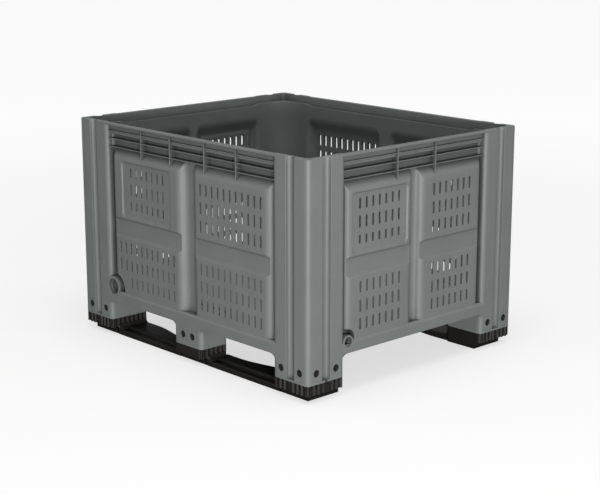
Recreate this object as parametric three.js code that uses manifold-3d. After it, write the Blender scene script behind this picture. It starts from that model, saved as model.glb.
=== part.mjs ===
// Plastic pallet box: one moulded box body standing on two snap-on runners.
// Units are millimetres. X runs along the long side, Y along the short side, Z up.
// The origin is on the ground, under the middle of the box.
import * as THREE from 'three';
import { mergeVertices } from 'three/addons/utils/BufferGeometryUtils.js';
import Module from 'manifold-3d';

const kernel = await Module();
kernel.setup();

// Overall sizes
const LENGTH = 1200;
const WIDTH = 1000;
const HEIGHT = 785;
const SKIN = 5; // moulded wall thickness
const CLEARANCE = 0.3; // between the box and its runners

// Levels above the ground
const FOOT_BOTTOM = 60;
const BEAM_BOTTOM = 134; // top of the fork openings
const FLOOR_PLATE = 6;
const FLOOR_TOP = 170; // inside floor of the box
const LEDGE_OUTER = 168; // top edge of the bottom beam
const LEDGE_RISE = 8; // how much the beam's sloping top rises to the panels
const PANEL_TOP = 664; // top edge of the bulged panels
const PANEL_SLOPE_RISE = 33; // height of the slope above that edge

// Depths, measured inwards from the outer face of a wall
const PANEL_DEPTH = 5; // face of the bulged panels
const WALL_DEPTH = 31; // outer face of the wall between the panels
const RIB_DEPTH = 8; // outer edge of the ribs under the rim
const RIM_DEPTH = 16; // outer face of the thin band under the rim
const INNER_FACE = WALL_DEPTH + SKIN;

// Corner columns and feet
const COLUMN = 163; // width of a column on each face
const EDGE_RADIUS = 16; // all upright outer edges
const GROOVE_START = 63; // from the box corner to the upright groove
const GROOVE_WIDTH = 37;
const GROOVE_DEPTH = 16;
const GROOVE_DRAFT = 4; // slope of each groove side
const GROOVE_FOOT = 7; // plain rim left below the groove
const INSIDE_RADIUS = 100; // upright corners of the load space
const MIDDLE_FOOT_WIDTH = 146;
const MIDDLE_FOOT_DEPTH = 120;
const FOOT_FACETS = 2; // facets on a quarter of an upright edge
const HOLLOW_FACETS = 1; // the same inside the hollows
const INSIDE_FACETS = 4; // facets on a quarter of a load space corner

// Snap holes in the feet
const HOLE_DIAMETER = 25;
const HOLE_RISE = 37; // hole centres above the bottom of the feet
const HOLE_FIRST = 39; // from the box corner
const HOLE_SECOND = 125;
const MIDDLE_HOLE_SPACING = 50;
const HOLE_FACETS = 6;

// Bulged panels, two in each wall
const PANEL_RADIUS = 24; // rounded upright sides
const PANEL_FACETS = 2;
const LONG_GAP = 18; // between a column and the next panel
const SHORT_GAP = 10;
const LONG_CHANNEL = 62; // between the two panels
const SHORT_CHANNEL = 34;
const BAND_DEPTH = 8; // recessed band across each panel
const BAND_BOTTOM = 384;
const BAND_TOP = 446;

// Recess for a label in the upper left panel
const LABEL_DEPTH = 5;
const LABEL_BOTTOM = 459;
const LABEL_TOP = 653;
const LABEL_MARGIN_LONG = 35; // from the panel's flat edge
const LABEL_MARGIN_SHORT = 4;
const LABEL_RADIUS = 12;

// Ventilation slots
const SLOT_WIDTH = 7;
const LONG_SPREAD = 302; // from the first to the last column of a group
const LONG_COLUMNS = 10;
const SHORT_SPREAD = 180;
const SHORT_COLUMNS = 7;
const SLOT_HEIGHT = 41;
const SLOT_ROW_PITCH = 63;
const UPPER_ROW = 595.5; // bottom of the top row in an upper group
const LOWER_ROW = 323.5; // bottom of the top row in a lower group
const ROWS = 3;
const LABEL_HALF_SPREAD = 92; // slots stay this near the middle of the label recess
const LABEL_SLOT_TRIM_TOP = 3; // top row in the label recess is this much lower
const LABEL_SLOT_TRIM_BOTTOM = 14; // bottom row in the label recess starts higher

// Rim and the ribs below it
const RIM_LIP = 8; // height of the lip at the top edge
const RIM_LEDGE = 750; // ledge inside, where the rim band stands on the wall
const RIB = 3;
const RIB_LEVELS = [757, 729, 700];
const RIB_INNER = 91; // upright ribs, from the middle of a wall
const RIB_OUTER = 251; // second pair, on the long walls only

// Drain ports, low on the left of each wall
const LONG_PORT = { centre: 176, level: 188, bore: 57, ring: 76, pocket: 122, floor: 26 };
const SHORT_PORT = { centre: 180, level: 172, bore: 33, ring: 45, pocket: 58, floor: 24 };
const PORT_FACETS = 8;
const PORT_MISSING_COLUMNS = 2; // slots left out of the lowest row beside a large port

// Ribs under the floor
const FLOOR_RIB = 4;
const FLOOR_CELLS_X = 3;
const FLOOR_CELLS_Y = 2;

// Runners
const SKIRT_BOTTOM = 25;
const BASE_INSET = 28; // base plate, in from the outer faces of the shoes
const SHOE_SKIN = 5;
const SHOE_FLOOR = 8;
const STRIP_OUTER = 18; // height of the strip's outer flange
const STRIP_TROUGH = 9;
const STRIP_INNER = 22;
const STRIP_FLANGE = 16; // width of the outer flange's top
const FLANGE_CHAMFER = 4;
const TROUGH_WIDTH = 8; // flat bottom of the trough
const TROUGH_SLOPE = 12; // width of the slope from the trough to the inner plateau
const STRIP_WIDE = 155; // inner edge beside the corner shoes
const STRIP_NARROW = 120; // inner edge beside the middle shoe
const SCOOP_RADIUS = 25; // ramp from the strip up to a shoe
const SCOOP_RISE = 12; // height of the ramp's upright part above its curve
const SCOOP_INSET = 30; // ramp's outer end, in from the shoe's outer face
const LUG_WIDTH = 32;
const LUG_THICKNESS = 8;
const LUG_TOP = 115;
const LUG_CLEARANCE = 0.5; // round a snap lug's button, all ways
const BUTTON_RECESS = 2; // the button stops short of the foot's outer face

const GREY = new THREE.Color('#6f7472');
const BLACK = new THREE.Color('#1b1918');

// An arc in an extruded outline gets two facets for each curve segment asked for.
const FACETS_PER_SEGMENT = 2;

// Turns a closed geometry into a solid for joining and cutting.
function toSolid(geometry) {
  geometry.deleteAttribute('normal');
  geometry.deleteAttribute('uv');
  const merged = mergeVertices(geometry, 1e-4);
  return new kernel.Manifold(new kernel.Mesh({
    numProp: 3,
    vertProperties: new Float32Array(merged.attributes.position.array),
    triVerts: new Uint32Array(merged.index.array),
  }));
}

// Turns a solid back into a geometry.
function toGeometry(solid) {
  const mesh = solid.getMesh();
  const geometry = new THREE.BufferGeometry();
  geometry.setAttribute('position', new THREE.BufferAttribute(mesh.vertProperties, 3));
  geometry.setIndex(new THREE.BufferAttribute(mesh.triVerts, 1));
  geometry.computeVertexNormals();
  return geometry;
}

// Joins a list of solids.
function join(solids) {
  return solids.reduce((whole, piece) => whole.add(piece));
}

// A closed outline from a list of [x, y] points.
function outline(points) {
  return new THREE.Shape(points.map(([x, y]) => new THREE.Vector2(x, y)));
}

// A plan outline raised from one level to another.
function prism(shape, bottom, top, facets = 1) {
  const geometry = new THREE.ExtrudeGeometry(shape, {
    depth: top - bottom,
    bevelEnabled: false,
    curveSegments: facets / FACETS_PER_SEGMENT,
  });
  geometry.translate(0, 0, bottom);
  return toSolid(geometry);
}

// An upright section, drawn as [depth, height], carried along a wall from start to end.
function alongWall(points, start, end) {
  const geometry = new THREE.ExtrudeGeometry(outline(points), {
    depth: end - start,
    bevelEnabled: false,
  });
  const turn = new THREE.Matrix4().makeBasis(
    new THREE.Vector3(0, 1, 0),
    new THREE.Vector3(0, 0, 1),
    new THREE.Vector3(1, 0, 0),
  );
  geometry.applyMatrix4(turn);
  geometry.translate(start, 0, 0);
  return toSolid(geometry);
}

// A front outline, drawn as [along, height], carried inwards from one depth to another.
function throughWall(shape, shallow, deep, facets = 1) {
  const geometry = new THREE.ExtrudeGeometry(shape, {
    depth: deep - shallow,
    bevelEnabled: false,
    curveSegments: facets / FACETS_PER_SEGMENT,
  });
  geometry.rotateX(Math.PI / 2);
  geometry.translate(0, deep, 0);
  return toSolid(geometry);
}

// A block between two corners.
function block([x0, y0, z0], [x1, y1, z1]) {
  const geometry = new THREE.BoxGeometry(x1 - x0, y1 - y0, z1 - z0);
  geometry.translate((x0 + x1) / 2, (y0 + y1) / 2, (z0 + z1) / 2);
  return toSolid(geometry);
}

// A round bar that runs inwards through a wall, at a place along it and a height.
function roundBar(along, height, diameter, shallow, deep, facets) {
  const geometry = new THREE.CylinderGeometry(diameter / 2, diameter / 2, deep - shallow, facets);
  geometry.rotateY(Math.PI / facets);
  geometry.translate(along, (shallow + deep) / 2, height);
  return toSolid(geometry);
}

// A rectangle with rounded corners.
function roundedRect(x0, y0, x1, y1, radius) {
  const shape = new THREE.Shape();
  shape.moveTo(x0 + radius, y0);
  shape.lineTo(x1 - radius, y0);
  shape.absarc(x1 - radius, y0 + radius, radius, -Math.PI / 2, 0, false);
  shape.lineTo(x1, y1 - radius);
  shape.absarc(x1 - radius, y1 - radius, radius, 0, Math.PI / 2, false);
  shape.lineTo(x0 + radius, y1);
  shape.absarc(x0 + radius, y1 - radius, radius, Math.PI / 2, Math.PI, false);
  shape.lineTo(x0, y0 + radius);
  shape.absarc(x0 + radius, y0 + radius, radius, Math.PI, 1.5 * Math.PI, false);
  return shape;
}

// The four corners of a wall-by-wall footprint: places a solid drawn in a corner's own frame,
// whose origin is the box corner with both walls running in the positive directions.
function atCorners(solid) {
  const flipped = solid.mirror([1, -1, 0]);
  return join([
    solid.translate([-LENGTH / 2, -WIDTH / 2, 0]),
    flipped.rotate([0, 0, 90]).translate([LENGTH / 2, -WIDTH / 2, 0]),
    solid.rotate([0, 0, 180]).translate([LENGTH / 2, WIDTH / 2, 0]),
    flipped.rotate([0, 0, 270]).translate([-LENGTH / 2, WIDTH / 2, 0]),
  ]);
}

// The front and rear walls are alike, each turned half round from the other.
function onLongWalls(solid) {
  const front = solid.translate([-LENGTH / 2, -WIDTH / 2, 0]);
  return front.add(front.rotate([0, 0, 180]));
}

// The same for the two short walls.
function onShortWalls(solid) {
  const right = solid.rotate([0, 0, 90]).translate([LENGTH / 2, -WIDTH / 2, 0]);
  return right.add(right.rotate([0, 0, 180]));
}

// The upright groove in both faces of a corner, grown inwards by an offset.
function cornerGrooves(grow, bottom, top) {
  const near = GROOVE_START - grow;
  const far = GROOVE_START + GROOVE_WIDTH + grow;
  const deep = GROOVE_DEPTH + grow;
  const one = prism(outline([
    [near, -1],
    [far, -1],
    [far, 0],
    [far - GROOVE_DRAFT, deep],
    [near + GROOVE_DRAFT, deep],
    [near, 0],
  ]), bottom, top);
  return one.add(one.mirror([1, -1, 0]));
}

// Outer form of a corner column and its foot, in the corner's own frame.
function cornerColumn() {
  const post = prism(roundedRect(0, 0, COLUMN, COLUMN, EDGE_RADIUS), FOOT_BOTTOM, HEIGHT, FOOT_FACETS);
  return post.subtract(cornerGrooves(0, FOOT_BOTTOM + GROOVE_FOOT, HEIGHT + 1));
}

// Hollow of a corner column, open at the bottom: the whole foot below the floor, and above it
// the space between the column's skin and the rounded corner of the load space.
function cornerHollow() {
  const inner = COLUMN - SKIN;
  const radius = EDGE_RADIUS - SKIN;
  const plan = roundedRect(SKIN, SKIN, inner, inner, radius);
  const foot = prism(plan, FOOT_BOTTOM - 1, FLOOR_TOP - FLOOR_PLATE, HOLLOW_FACETS);
  const keep = roundedRect(WALL_DEPTH, WALL_DEPTH, LENGTH, WIDTH, INSIDE_RADIUS + SKIN);
  const shaft = prism(plan, FOOT_BOTTOM, RIM_LEDGE - SKIN, HOLLOW_FACETS)
    .subtract(prism(keep, FLOOR_TOP - FLOOR_PLATE, HEIGHT, INSIDE_FACETS));
  return foot.add(shaft).subtract(cornerGrooves(SKIN, FOOT_BOTTOM - 2, HEIGHT));
}

// The sizes that differ between the long and the short walls.
const LONG_WALL = {
  length: LENGTH,
  gap: LONG_GAP,
  channel: LONG_CHANNEL,
  columns: LONG_COLUMNS,
  spread: LONG_SPREAD,
  margin: LABEL_MARGIN_LONG,
  port: LONG_PORT,
  ribs: [-RIB_OUTER, -RIB_INNER, RIB_INNER, RIB_OUTER],
  missing: PORT_MISSING_COLUMNS,
};
const SHORT_WALL = {
  length: WIDTH,
  gap: SHORT_GAP,
  channel: SHORT_CHANNEL,
  columns: SHORT_COLUMNS,
  spread: SHORT_SPREAD,
  margin: LABEL_MARGIN_SHORT,
  port: SHORT_PORT,
  ribs: [-RIB_INNER, RIB_INNER],
  missing: 0,
};

// Where the two panels of a wall start and end, at their side planes.
function panelSpans(wall) {
  const middle = wall.length / 2;
  return [
    [COLUMN + wall.gap, middle - wall.channel / 2],
    [middle + wall.channel / 2, wall.length - COLUMN - wall.gap],
  ];
}

// A bulged panel, or the pocket behind it when it is drawn smaller by the skin.
function bulge(start, end, inset, bottom) {
  const face = PANEL_DEPTH + inset;
  const back = INNER_FACE + (inset ? SKIN : 0);
  const radius = PANEL_RADIUS - inset;
  const u0 = start + inset;
  const u1 = end - inset;
  const plan = new THREE.Shape();
  plan.moveTo(u0 + radius, face);
  plan.lineTo(u1 - radius, face);
  plan.absarc(u1 - radius, face + radius, radius, -Math.PI / 2, 0, false);
  plan.lineTo(u1, back);
  plan.lineTo(u0, back);
  plan.lineTo(u0, face + radius);
  plan.absarc(u0 + radius, face + radius, radius, Math.PI, 1.5 * Math.PI, false);
  const slopeTop = PANEL_TOP + PANEL_SLOPE_RISE - inset;
  const section = alongWall([
    [face, bottom],
    [face, PANEL_TOP - inset],
    [WALL_DEPTH + inset, slopeTop],
    [back, slopeTop],
    [back, bottom],
  ], u0, u1);
  return prism(plan, bottom, slopeTop, inset ? HOLLOW_FACETS : PANEL_FACETS).intersect(section);
}

// Where the label recess of a wall starts and ends.
function labelSpan(wall) {
  const [start, end] = panelSpans(wall)[0];
  const inset = PANEL_RADIUS + wall.margin;
  return [start + inset, end - inset];
}

// Outline of the label recess on a wall.
function labelRect(wall) {
  const [start, end] = labelSpan(wall);
  return roundedRect(start, LABEL_BOTTOM, end, LABEL_TOP, LABEL_RADIUS);
}

// The recessed band across a panel's flat face.
function band(start, end) {
  return block(
    [start + PANEL_RADIUS, -1, BAND_BOTTOM],
    [end - PANEL_RADIUS, PANEL_DEPTH + BAND_DEPTH, BAND_TOP],
  );
}

// All that stands proud on one wall, drawn from the wall's left end seen from outside.
function wallAdditions(wall) {
  const length = wall.length;
  const rimBottom = HEIGHT - RIM_LIP;
  const pieces = [
    block([SKIN, WALL_DEPTH, BEAM_BOTTOM], [length - SKIN, INNER_FACE, RIM_LEDGE]),
    block([SKIN, RIM_DEPTH, RIM_LEDGE - SKIN], [length - SKIN, RIM_DEPTH + SKIN, HEIGHT]),
    block([COLUMN - SKIN, 0, rimBottom], [length - COLUMN + SKIN, RIM_DEPTH + SKIN, HEIGHT]),
    block([SKIN, RIM_DEPTH, RIM_LEDGE - SKIN], [length - SKIN, INNER_FACE, RIM_LEDGE]),
  ];
  for (const level of RIB_LEVELS) {
    pieces.push(block(
      [COLUMN - SKIN, RIB_DEPTH, level - RIB / 2],
      [length - COLUMN + SKIN, level > RIM_LEDGE ? RIM_DEPTH + 1 : WALL_DEPTH + 1, level + RIB / 2],
    ));
  }
  for (const offset of wall.ribs) {
    const middle = length / 2 + offset;
    pieces.push(alongWall([
      [RIB_DEPTH, PANEL_TOP - SKIN],
      [RIB_DEPTH, HEIGHT - RIM_LIP / 2],
      [RIM_DEPTH + 1, HEIGHT - RIM_LIP / 2],
      [RIM_DEPTH + 1, RIM_LEDGE - 1],
      [WALL_DEPTH + 1, RIM_LEDGE - 1],
      [WALL_DEPTH + 1, PANEL_TOP - SKIN],
    ], middle - RIB / 2, middle + RIB / 2));
  }
  for (const [start, end] of panelSpans(wall)) {
    pieces.push(bulge(start, end, 0, FLOOR_TOP));
  }
  return join(pieces);
}

// The round pocket in the panel that leaves room for the port's ring.
function portPocket(wall) {
  const port = wall.port;
  const room = roundBar(port.centre, port.level, port.pocket, -1, WALL_DEPTH, PORT_FACETS);
  return room.intersect(block(
    [COLUMN, -1, LEDGE_OUTER + LEDGE_RISE],
    [port.centre + port.pocket, WALL_DEPTH, HEIGHT / 2],
  ));
}

// The bottom beam between two feet, with its sloping top.
function beam(start, end) {
  const crest = LEDGE_OUTER + LEDGE_RISE;
  return alongWall([
    [0, BEAM_BOTTOM],
    [0, LEDGE_OUTER],
    [PANEL_DEPTH + 1, crest],
    [INNER_FACE, crest],
    [INNER_FACE, BEAM_BOTTOM],
  ], start, end);
}

// Slots of one wall, all cut through the panels' skin.
function wallSlots(wall) {
  const slots = [];
  const addSlot = (along, bottom, top) => slots.push(block(
    [along - SLOT_WIDTH / 2, PANEL_DEPTH - 1, bottom],
    [along + SLOT_WIDTH / 2, PANEL_DEPTH + SKIN + LABEL_DEPTH + 1, top],
  ));
  panelSpans(wall).forEach(([start, end], side) => {
    const centre = (start + end) / 2;
    for (let row = 0; row < ROWS; row += 1) {
      for (let column = 0; column < wall.columns; column += 1) {
        const offset = wall.spread * (column / (wall.columns - 1) - 0.5);
        const along = centre + offset;
        const beside = side === 0 && row === ROWS - 1 && column < wall.missing;
        const low = LOWER_ROW - row * SLOT_ROW_PITCH;
        if (!beside) {
          addSlot(along, low, low + SLOT_HEIGHT);
        }
        const high = UPPER_ROW - row * SLOT_ROW_PITCH;
        if (side === 1) {
          addSlot(along, high, high + SLOT_HEIGHT);
        } else if (Math.abs(offset) <= LABEL_HALF_SPREAD) {
          const bottom = high + (row === ROWS - 1 ? LABEL_SLOT_TRIM_BOTTOM : 0);
          const top = high + SLOT_HEIGHT - (row === 0 ? LABEL_SLOT_TRIM_TOP : 0);
          addSlot(along, bottom, top);
        }
      }
    }
  });
  return kernel.Manifold.compose(slots);
}

// All that is cut from one wall: pockets behind the panels, recesses, slots and the port's bore.
function wallCuts(wall) {
  const spans = panelSpans(wall);
  const port = wall.port;
  let pockets = join(spans.map(([start, end]) => bulge(start, end, SKIN, FLOOR_TOP)));
  for (const [start, end] of spans) {
    const back = PANEL_DEPTH + BAND_DEPTH + SKIN;
    pockets = pockets.subtract(block([start, 0, BAND_BOTTOM - SKIN], [end, back, BAND_TOP + SKIN]));
  }
  const [labelStart, labelEnd] = labelSpan(wall);
  pockets = pockets.subtract(block(
    [labelStart - SKIN, 0, LABEL_BOTTOM - SKIN],
    [labelEnd + SKIN, PANEL_DEPTH + LABEL_DEPTH + SKIN, LABEL_TOP + SKIN],
  ));
  pockets = pockets.subtract(roundBar(
    port.centre,
    port.level,
    port.pocket + 2 * SKIN,
    -1,
    INNER_FACE + SKIN + 1,
    PORT_FACETS,
  ));
  const cuts = [
    pockets,
    throughWall(labelRect(wall), -1, PANEL_DEPTH + LABEL_DEPTH),
    wallSlots(wall),
    roundBar(port.centre, port.level, port.bore, -1, port.floor, PORT_FACETS),
  ];
  for (const [start, end] of spans) {
    cuts.push(band(start, end));
  }
  return join(cuts);
}

// A middle foot on a long wall, up to the top of the beam.
function middleFoot() {
  const start = (LENGTH - MIDDLE_FOOT_WIDTH) / 2;
  const end = start + MIDDLE_FOOT_WIDTH;
  const crest = LEDGE_OUTER + LEDGE_RISE;
  const post = prism(
    roundedRect(start, 0, end, MIDDLE_FOOT_DEPTH, EDGE_RADIUS),
    FOOT_BOTTOM,
    crest,
    FOOT_FACETS,
  );
  return post.intersect(alongWall([
    [0, FOOT_BOTTOM],
    [0, LEDGE_OUTER],
    [PANEL_DEPTH + 1, crest],
    [MIDDLE_FOOT_DEPTH, crest],
    [MIDDLE_FOOT_DEPTH, FOOT_BOTTOM],
  ], start, end));
}

// Hollow of a middle foot, open at the bottom.
function middleHollow() {
  const start = (LENGTH - MIDDLE_FOOT_WIDTH) / 2;
  return prism(
    roundedRect(
      start + SKIN,
      SKIN,
      start + MIDDLE_FOOT_WIDTH - SKIN,
      MIDDLE_FOOT_DEPTH - SKIN,
      EDGE_RADIUS - SKIN,
    ),
    FOOT_BOTTOM - 1,
    FLOOR_TOP - FLOOR_PLATE,
    HOLLOW_FACETS,
  );
}

// Places along a wall of the snap holes, seen from that wall's left end.
function holePlaces(length, hasMiddleFoot) {
  const corner = [HOLE_FIRST, HOLE_SECOND];
  const middle = [length / 2 - MIDDLE_HOLE_SPACING / 2, length / 2 + MIDDLE_HOLE_SPACING / 2];
  return [...corner, ...(hasMiddleFoot ? middle : []), ...corner.map((place) => length - place)];
}

// Snap holes through the outer skin of the feet on one wall.
function snapHoles(length, hasMiddleFoot) {
  const height = FOOT_BOTTOM + HOLE_RISE;
  return join(holePlaces(length, hasMiddleFoot).map((place) => (
    roundBar(place, height, HOLE_DIAMETER, -1, SKIN + 1, HOLE_FACETS)
  )));
}

// Footprints of all six feet, each with a rib's width round it, raised between two levels.
function feetFootprints(bottom, top) {
  const reach = COLUMN + FLOOR_RIB;
  const corner = block([-1, -1, bottom], [reach, reach, top]);
  const halfWidth = MIDDLE_FOOT_WIDTH / 2 + FLOOR_RIB;
  const middle = block(
    [LENGTH / 2 - halfWidth, -1, bottom],
    [LENGTH / 2 + halfWidth, MIDDLE_FOOT_DEPTH + FLOOR_RIB, top],
  );
  return atCorners(corner).add(onLongWalls(middle));
}

// The space under the floor plate, split into cells by ribs.
function underFloorCells() {
  const top = FLOOR_TOP - FLOOR_PLATE;
  const spanX = LENGTH - 2 * SKIN + FLOOR_RIB;
  const spanY = WIDTH - 2 * SKIN + FLOOR_RIB;
  const pitchX = spanX / FLOOR_CELLS_X;
  const pitchY = spanY / FLOOR_CELLS_Y;
  const cells = [];
  for (let i = 0; i < FLOOR_CELLS_X; i += 1) {
    for (let j = 0; j < FLOOR_CELLS_Y; j += 1) {
      const x0 = -LENGTH / 2 + SKIN + i * pitchX;
      const y0 = -WIDTH / 2 + SKIN + j * pitchY;
      cells.push(block(
        [x0, y0, BEAM_BOTTOM - 1],
        [x0 + pitchX - FLOOR_RIB, y0 + pitchY - FLOOR_RIB, top],
      ));
    }
  }
  return kernel.Manifold.compose(cells)
    .subtract(feetFootprints(BEAM_BOTTOM - 2, top + 1))
    .subtract(onLongWalls(portBoss(LONG_WALL)))
    .subtract(onShortWalls(portBoss(SHORT_WALL)));
}

// The load space and the wider mouth above the inner ledge.
function loadSpace() {
  const halfX = LENGTH / 2;
  const halfY = WIDTH / 2;
  const inner = INNER_FACE;
  const mouth = RIM_DEPTH + SKIN;
  const low = roundedRect(inner - halfX, inner - halfY, halfX - inner, halfY - inner, INSIDE_RADIUS);
  const high = roundedRect(mouth - halfX, mouth - halfY, halfX - mouth, halfY - mouth, EDGE_RADIUS);
  return prism(low, FLOOR_TOP, HEIGHT, INSIDE_FACETS)
    .add(prism(high, RIM_LEDGE, HEIGHT + 1, FOOT_FACETS));
}

// The whole moulded box body.
function boxBody() {
  const halfFoot = MIDDLE_FOOT_WIDTH / 2;
  const middle = LENGTH / 2;
  const crest = LEDGE_OUTER + LEDGE_RISE;
  const inset = GROOVE_DEPTH + SKIN;
  const floor = block(
    [-LENGTH / 2 + inset, -WIDTH / 2 + inset, BEAM_BOTTOM],
    [LENGTH / 2 - inset, WIDTH / 2 - inset, FLOOR_TOP],
  );
  const longBeams = beam(COLUMN, middle - halfFoot).add(beam(middle + halfFoot, LENGTH - COLUMN));
  const shortBeam = beam(COLUMN, WIDTH - COLUMN);
  const ledge = (length) => block(
    [COLUMN - SKIN, PANEL_DEPTH + 1, FLOOR_TOP - 1],
    [length - COLUMN + SKIN, INNER_FACE, crest],
  );
  const outside = join([
    floor,
    atCorners(cornerColumn()),
    onLongWalls(wallAdditions(LONG_WALL).subtract(portPocket(LONG_WALL))),
    onShortWalls(wallAdditions(SHORT_WALL).subtract(portPocket(SHORT_WALL))),
    onLongWalls(portRing(LONG_WALL)),
    onShortWalls(portRing(SHORT_WALL)),
    onLongWalls(join([longBeams, middleFoot(), ledge(LENGTH)])),
    onShortWalls(shortBeam.add(ledge(WIDTH))),
  ]);
  return outside
    .subtract(loadSpace())
    .subtract(atCorners(cornerHollow()))
    .subtract(onLongWalls(wallCuts(LONG_WALL).add(middleHollow())))
    .subtract(onShortWalls(wallCuts(SHORT_WALL)))
    .subtract(onLongWalls(snapHoles(LENGTH, true)))
    .subtract(onShortWalls(snapHoles(WIDTH, false)))
    .subtract(underFloorCells());
}

// The ring of a port, standing from the wall out to the box's outer face.
function portRing(wall) {
  const port = wall.port;
  return roundBar(port.centre, port.level, port.ring, 0, WALL_DEPTH + 1, PORT_FACETS);
}

// What is kept of the beam round a port's bore, so that the bore stays blind.
function portBoss(wall) {
  const port = wall.port;
  return roundBar(port.centre, port.level, port.bore + 2 * SKIN, 0, port.floor + SKIN, PORT_FACETS);
}

// A shoe: a skirt under the foot on a narrower base, open at the top.
function shoe(x0, x1, depth, insets) {
  const top = FOOT_BOTTOM - CLEARANCE;
  const skirt = prism(roundedRect(x0, 0, x1, depth, EDGE_RADIUS), SKIRT_BOTTOM, top, FOOT_FACETS);
  const base = block([x0 + insets[0], BASE_INSET, 0], [x1 - insets[1], depth, SKIRT_BOTTOM + 1]);
  const hollow = block(
    [x0 + insets[0] + SHOE_SKIN, BASE_INSET + SHOE_SKIN, SHOE_FLOOR],
    [x1 - insets[1] - SHOE_SKIN, depth - SHOE_SKIN, top + 1],
  );
  const tray = prism(roundedRect(
    x0 + SHOE_SKIN,
    SHOE_SKIN,
    x1 - SHOE_SKIN,
    depth - SHOE_SKIN,
    EDGE_RADIUS - SHOE_SKIN,
  ), SKIRT_BOTTOM + SHOE_SKIN, top + 1, FOOT_FACETS);
  return skirt.add(base).subtract(hollow).subtract(tray);
}

// The strip between two shoes: outer flange, trough and inner plateau.
function strip(x0, x1, inner0, inner1) {
  const flangeEnd = BASE_INSET + STRIP_FLANGE;
  const troughStart = flangeEnd + STRIP_OUTER - STRIP_TROUGH;
  const troughEnd = troughStart + TROUGH_WIDTH;
  const section = alongWall([
    [BASE_INSET, 0],
    [BASE_INSET, STRIP_OUTER - FLANGE_CHAMFER],
    [BASE_INSET + FLANGE_CHAMFER, STRIP_OUTER],
    [flangeEnd, STRIP_OUTER],
    [troughStart, STRIP_TROUGH],
    [troughEnd, STRIP_TROUGH],
    [troughEnd + TROUGH_SLOPE, STRIP_INNER],
    [STRIP_WIDE, STRIP_INNER],
    [STRIP_WIDE, 0],
  ], x0 - 1, x1 + 1);
  const plan = prism(outline([
    [x0 - 1, 0],
    [x1 + 1, 0],
    [x1 + 1, inner1],
    [x1 - (x1 - x0) / 4, inner1],
    [x0 + (x1 - x0) / 4, inner0],
    [x0 - 1, inner0],
  ]), -1, SKIRT_BOTTOM);
  return section.intersect(plan);
}

// A hollow ramp from the strip up the side of a shoe, facing along +X from its foot at x.
function scoop(x, inner) {
  const r = SCOOP_RADIUS;
  const top = STRIP_TROUGH + r + SCOOP_RISE;
  const shape = new THREE.Shape();
  shape.moveTo(x - 1, STRIP_TROUGH);
  shape.lineTo(x - 1, top);
  shape.lineTo(x, top);
  shape.absarc(x + r, top, r, Math.PI, 1.5 * Math.PI, false);
  shape.lineTo(x + r, STRIP_TROUGH);
  return throughWall(shape, SCOOP_INSET, inner, FOOT_FACETS);
}

// A snap lug behind one hole: an upright plate with a round button that fills the hole.
function lug(place) {
  const back = SKIN + LUG_CLEARANCE;
  const plate = block(
    [place - LUG_WIDTH / 2, back, SKIRT_BOTTOM + 1],
    [place + LUG_WIDTH / 2, back + LUG_THICKNESS, LUG_TOP],
  );
  const diameter = HOLE_DIAMETER - 2 * LUG_CLEARANCE;
  const height = FOOT_BOTTOM + HOLE_RISE;
  return plate.add(roundBar(place, height, diameter, BUTTON_RECESS, back + 1, HOLE_FACETS));
}

// One runner, drawn from the left end of the long wall that it lies under.
function runner() {
  const middle = LENGTH / 2;
  const halfFoot = MIDDLE_FOOT_WIDTH / 2;
  const leftShoe = shoe(0, COLUMN, COLUMN, [BASE_INSET, 0]);
  const rightShoe = shoe(LENGTH - COLUMN, LENGTH, COLUMN, [0, BASE_INSET]);
  const middleShoe = shoe(middle - halfFoot, middle + halfFoot, MIDDLE_FOOT_DEPTH, [0, 0]);
  const leftStrip = strip(COLUMN, middle - halfFoot, STRIP_WIDE, STRIP_NARROW);
  const rightStrip = strip(middle + halfFoot, LENGTH - COLUMN, STRIP_NARROW, STRIP_WIDE);
  const middleScoop = scoop(-(middle - halfFoot), STRIP_NARROW - EDGE_RADIUS).mirror([1, 0, 0]);
  const scoops = scoop(COLUMN, STRIP_WIDE).add(middleScoop);
  const mirrored = scoops.mirror([1, 0, 0]).translate([LENGTH, 0, 0]);
  const cornerHoles = [HOLE_FIRST, HOLE_SECOND];
  const rightEndLugs = cornerHoles.map((place) => (
    lug(place).rotate([0, 0, 90]).translate([LENGTH, 0, 0])
  ));
  const leftEndLugs = cornerHoles.map((place) => lug(-place).rotate([0, 0, -90]));
  const lugs = join([...holePlaces(LENGTH, true).map(lug), ...rightEndLugs, ...leftEndLugs]);
  return join([
    leftShoe,
    rightShoe,
    middleShoe,
    leftStrip,
    rightStrip,
    scoops,
    mirrored,
    lugs,
  ]).translate([-LENGTH / 2, -WIDTH / 2, 0]);
}

// A named mesh with its own material.
function mesh(name, solid, colour, roughness) {
  const material = new THREE.MeshStandardMaterial({ color: colour, roughness, metalness: 0 });
  const piece = new THREE.Mesh(toGeometry(solid), material);
  piece.name = name;
  return piece;
}

const palletBox = new THREE.Group();
palletBox.add(mesh('box_body', boxBody(), GREY, 0.55));

const runnerFront = mesh('runner_front', runner(), BLACK, 0.6);
palletBox.add(runnerFront);

const runnerRear = mesh('runner_rear', runner(), BLACK, 0.6);
runnerRear.rotation.z = Math.PI;
palletBox.add(runnerRear);

export default palletBox;
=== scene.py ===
"""Looks of the plastic pallet box: a slotted grey box on two black runners.

Every surface is drawn in a wall's own frame, in millimetres. There u runs along the wall from its
left end as seen from outside, d runs inwards from the outer face, and z is the height above the
ground. A Placement then puts the wall's surfaces into the row frame.
"""

import logging
import math
from dataclasses import dataclass
from enum import Enum

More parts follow.
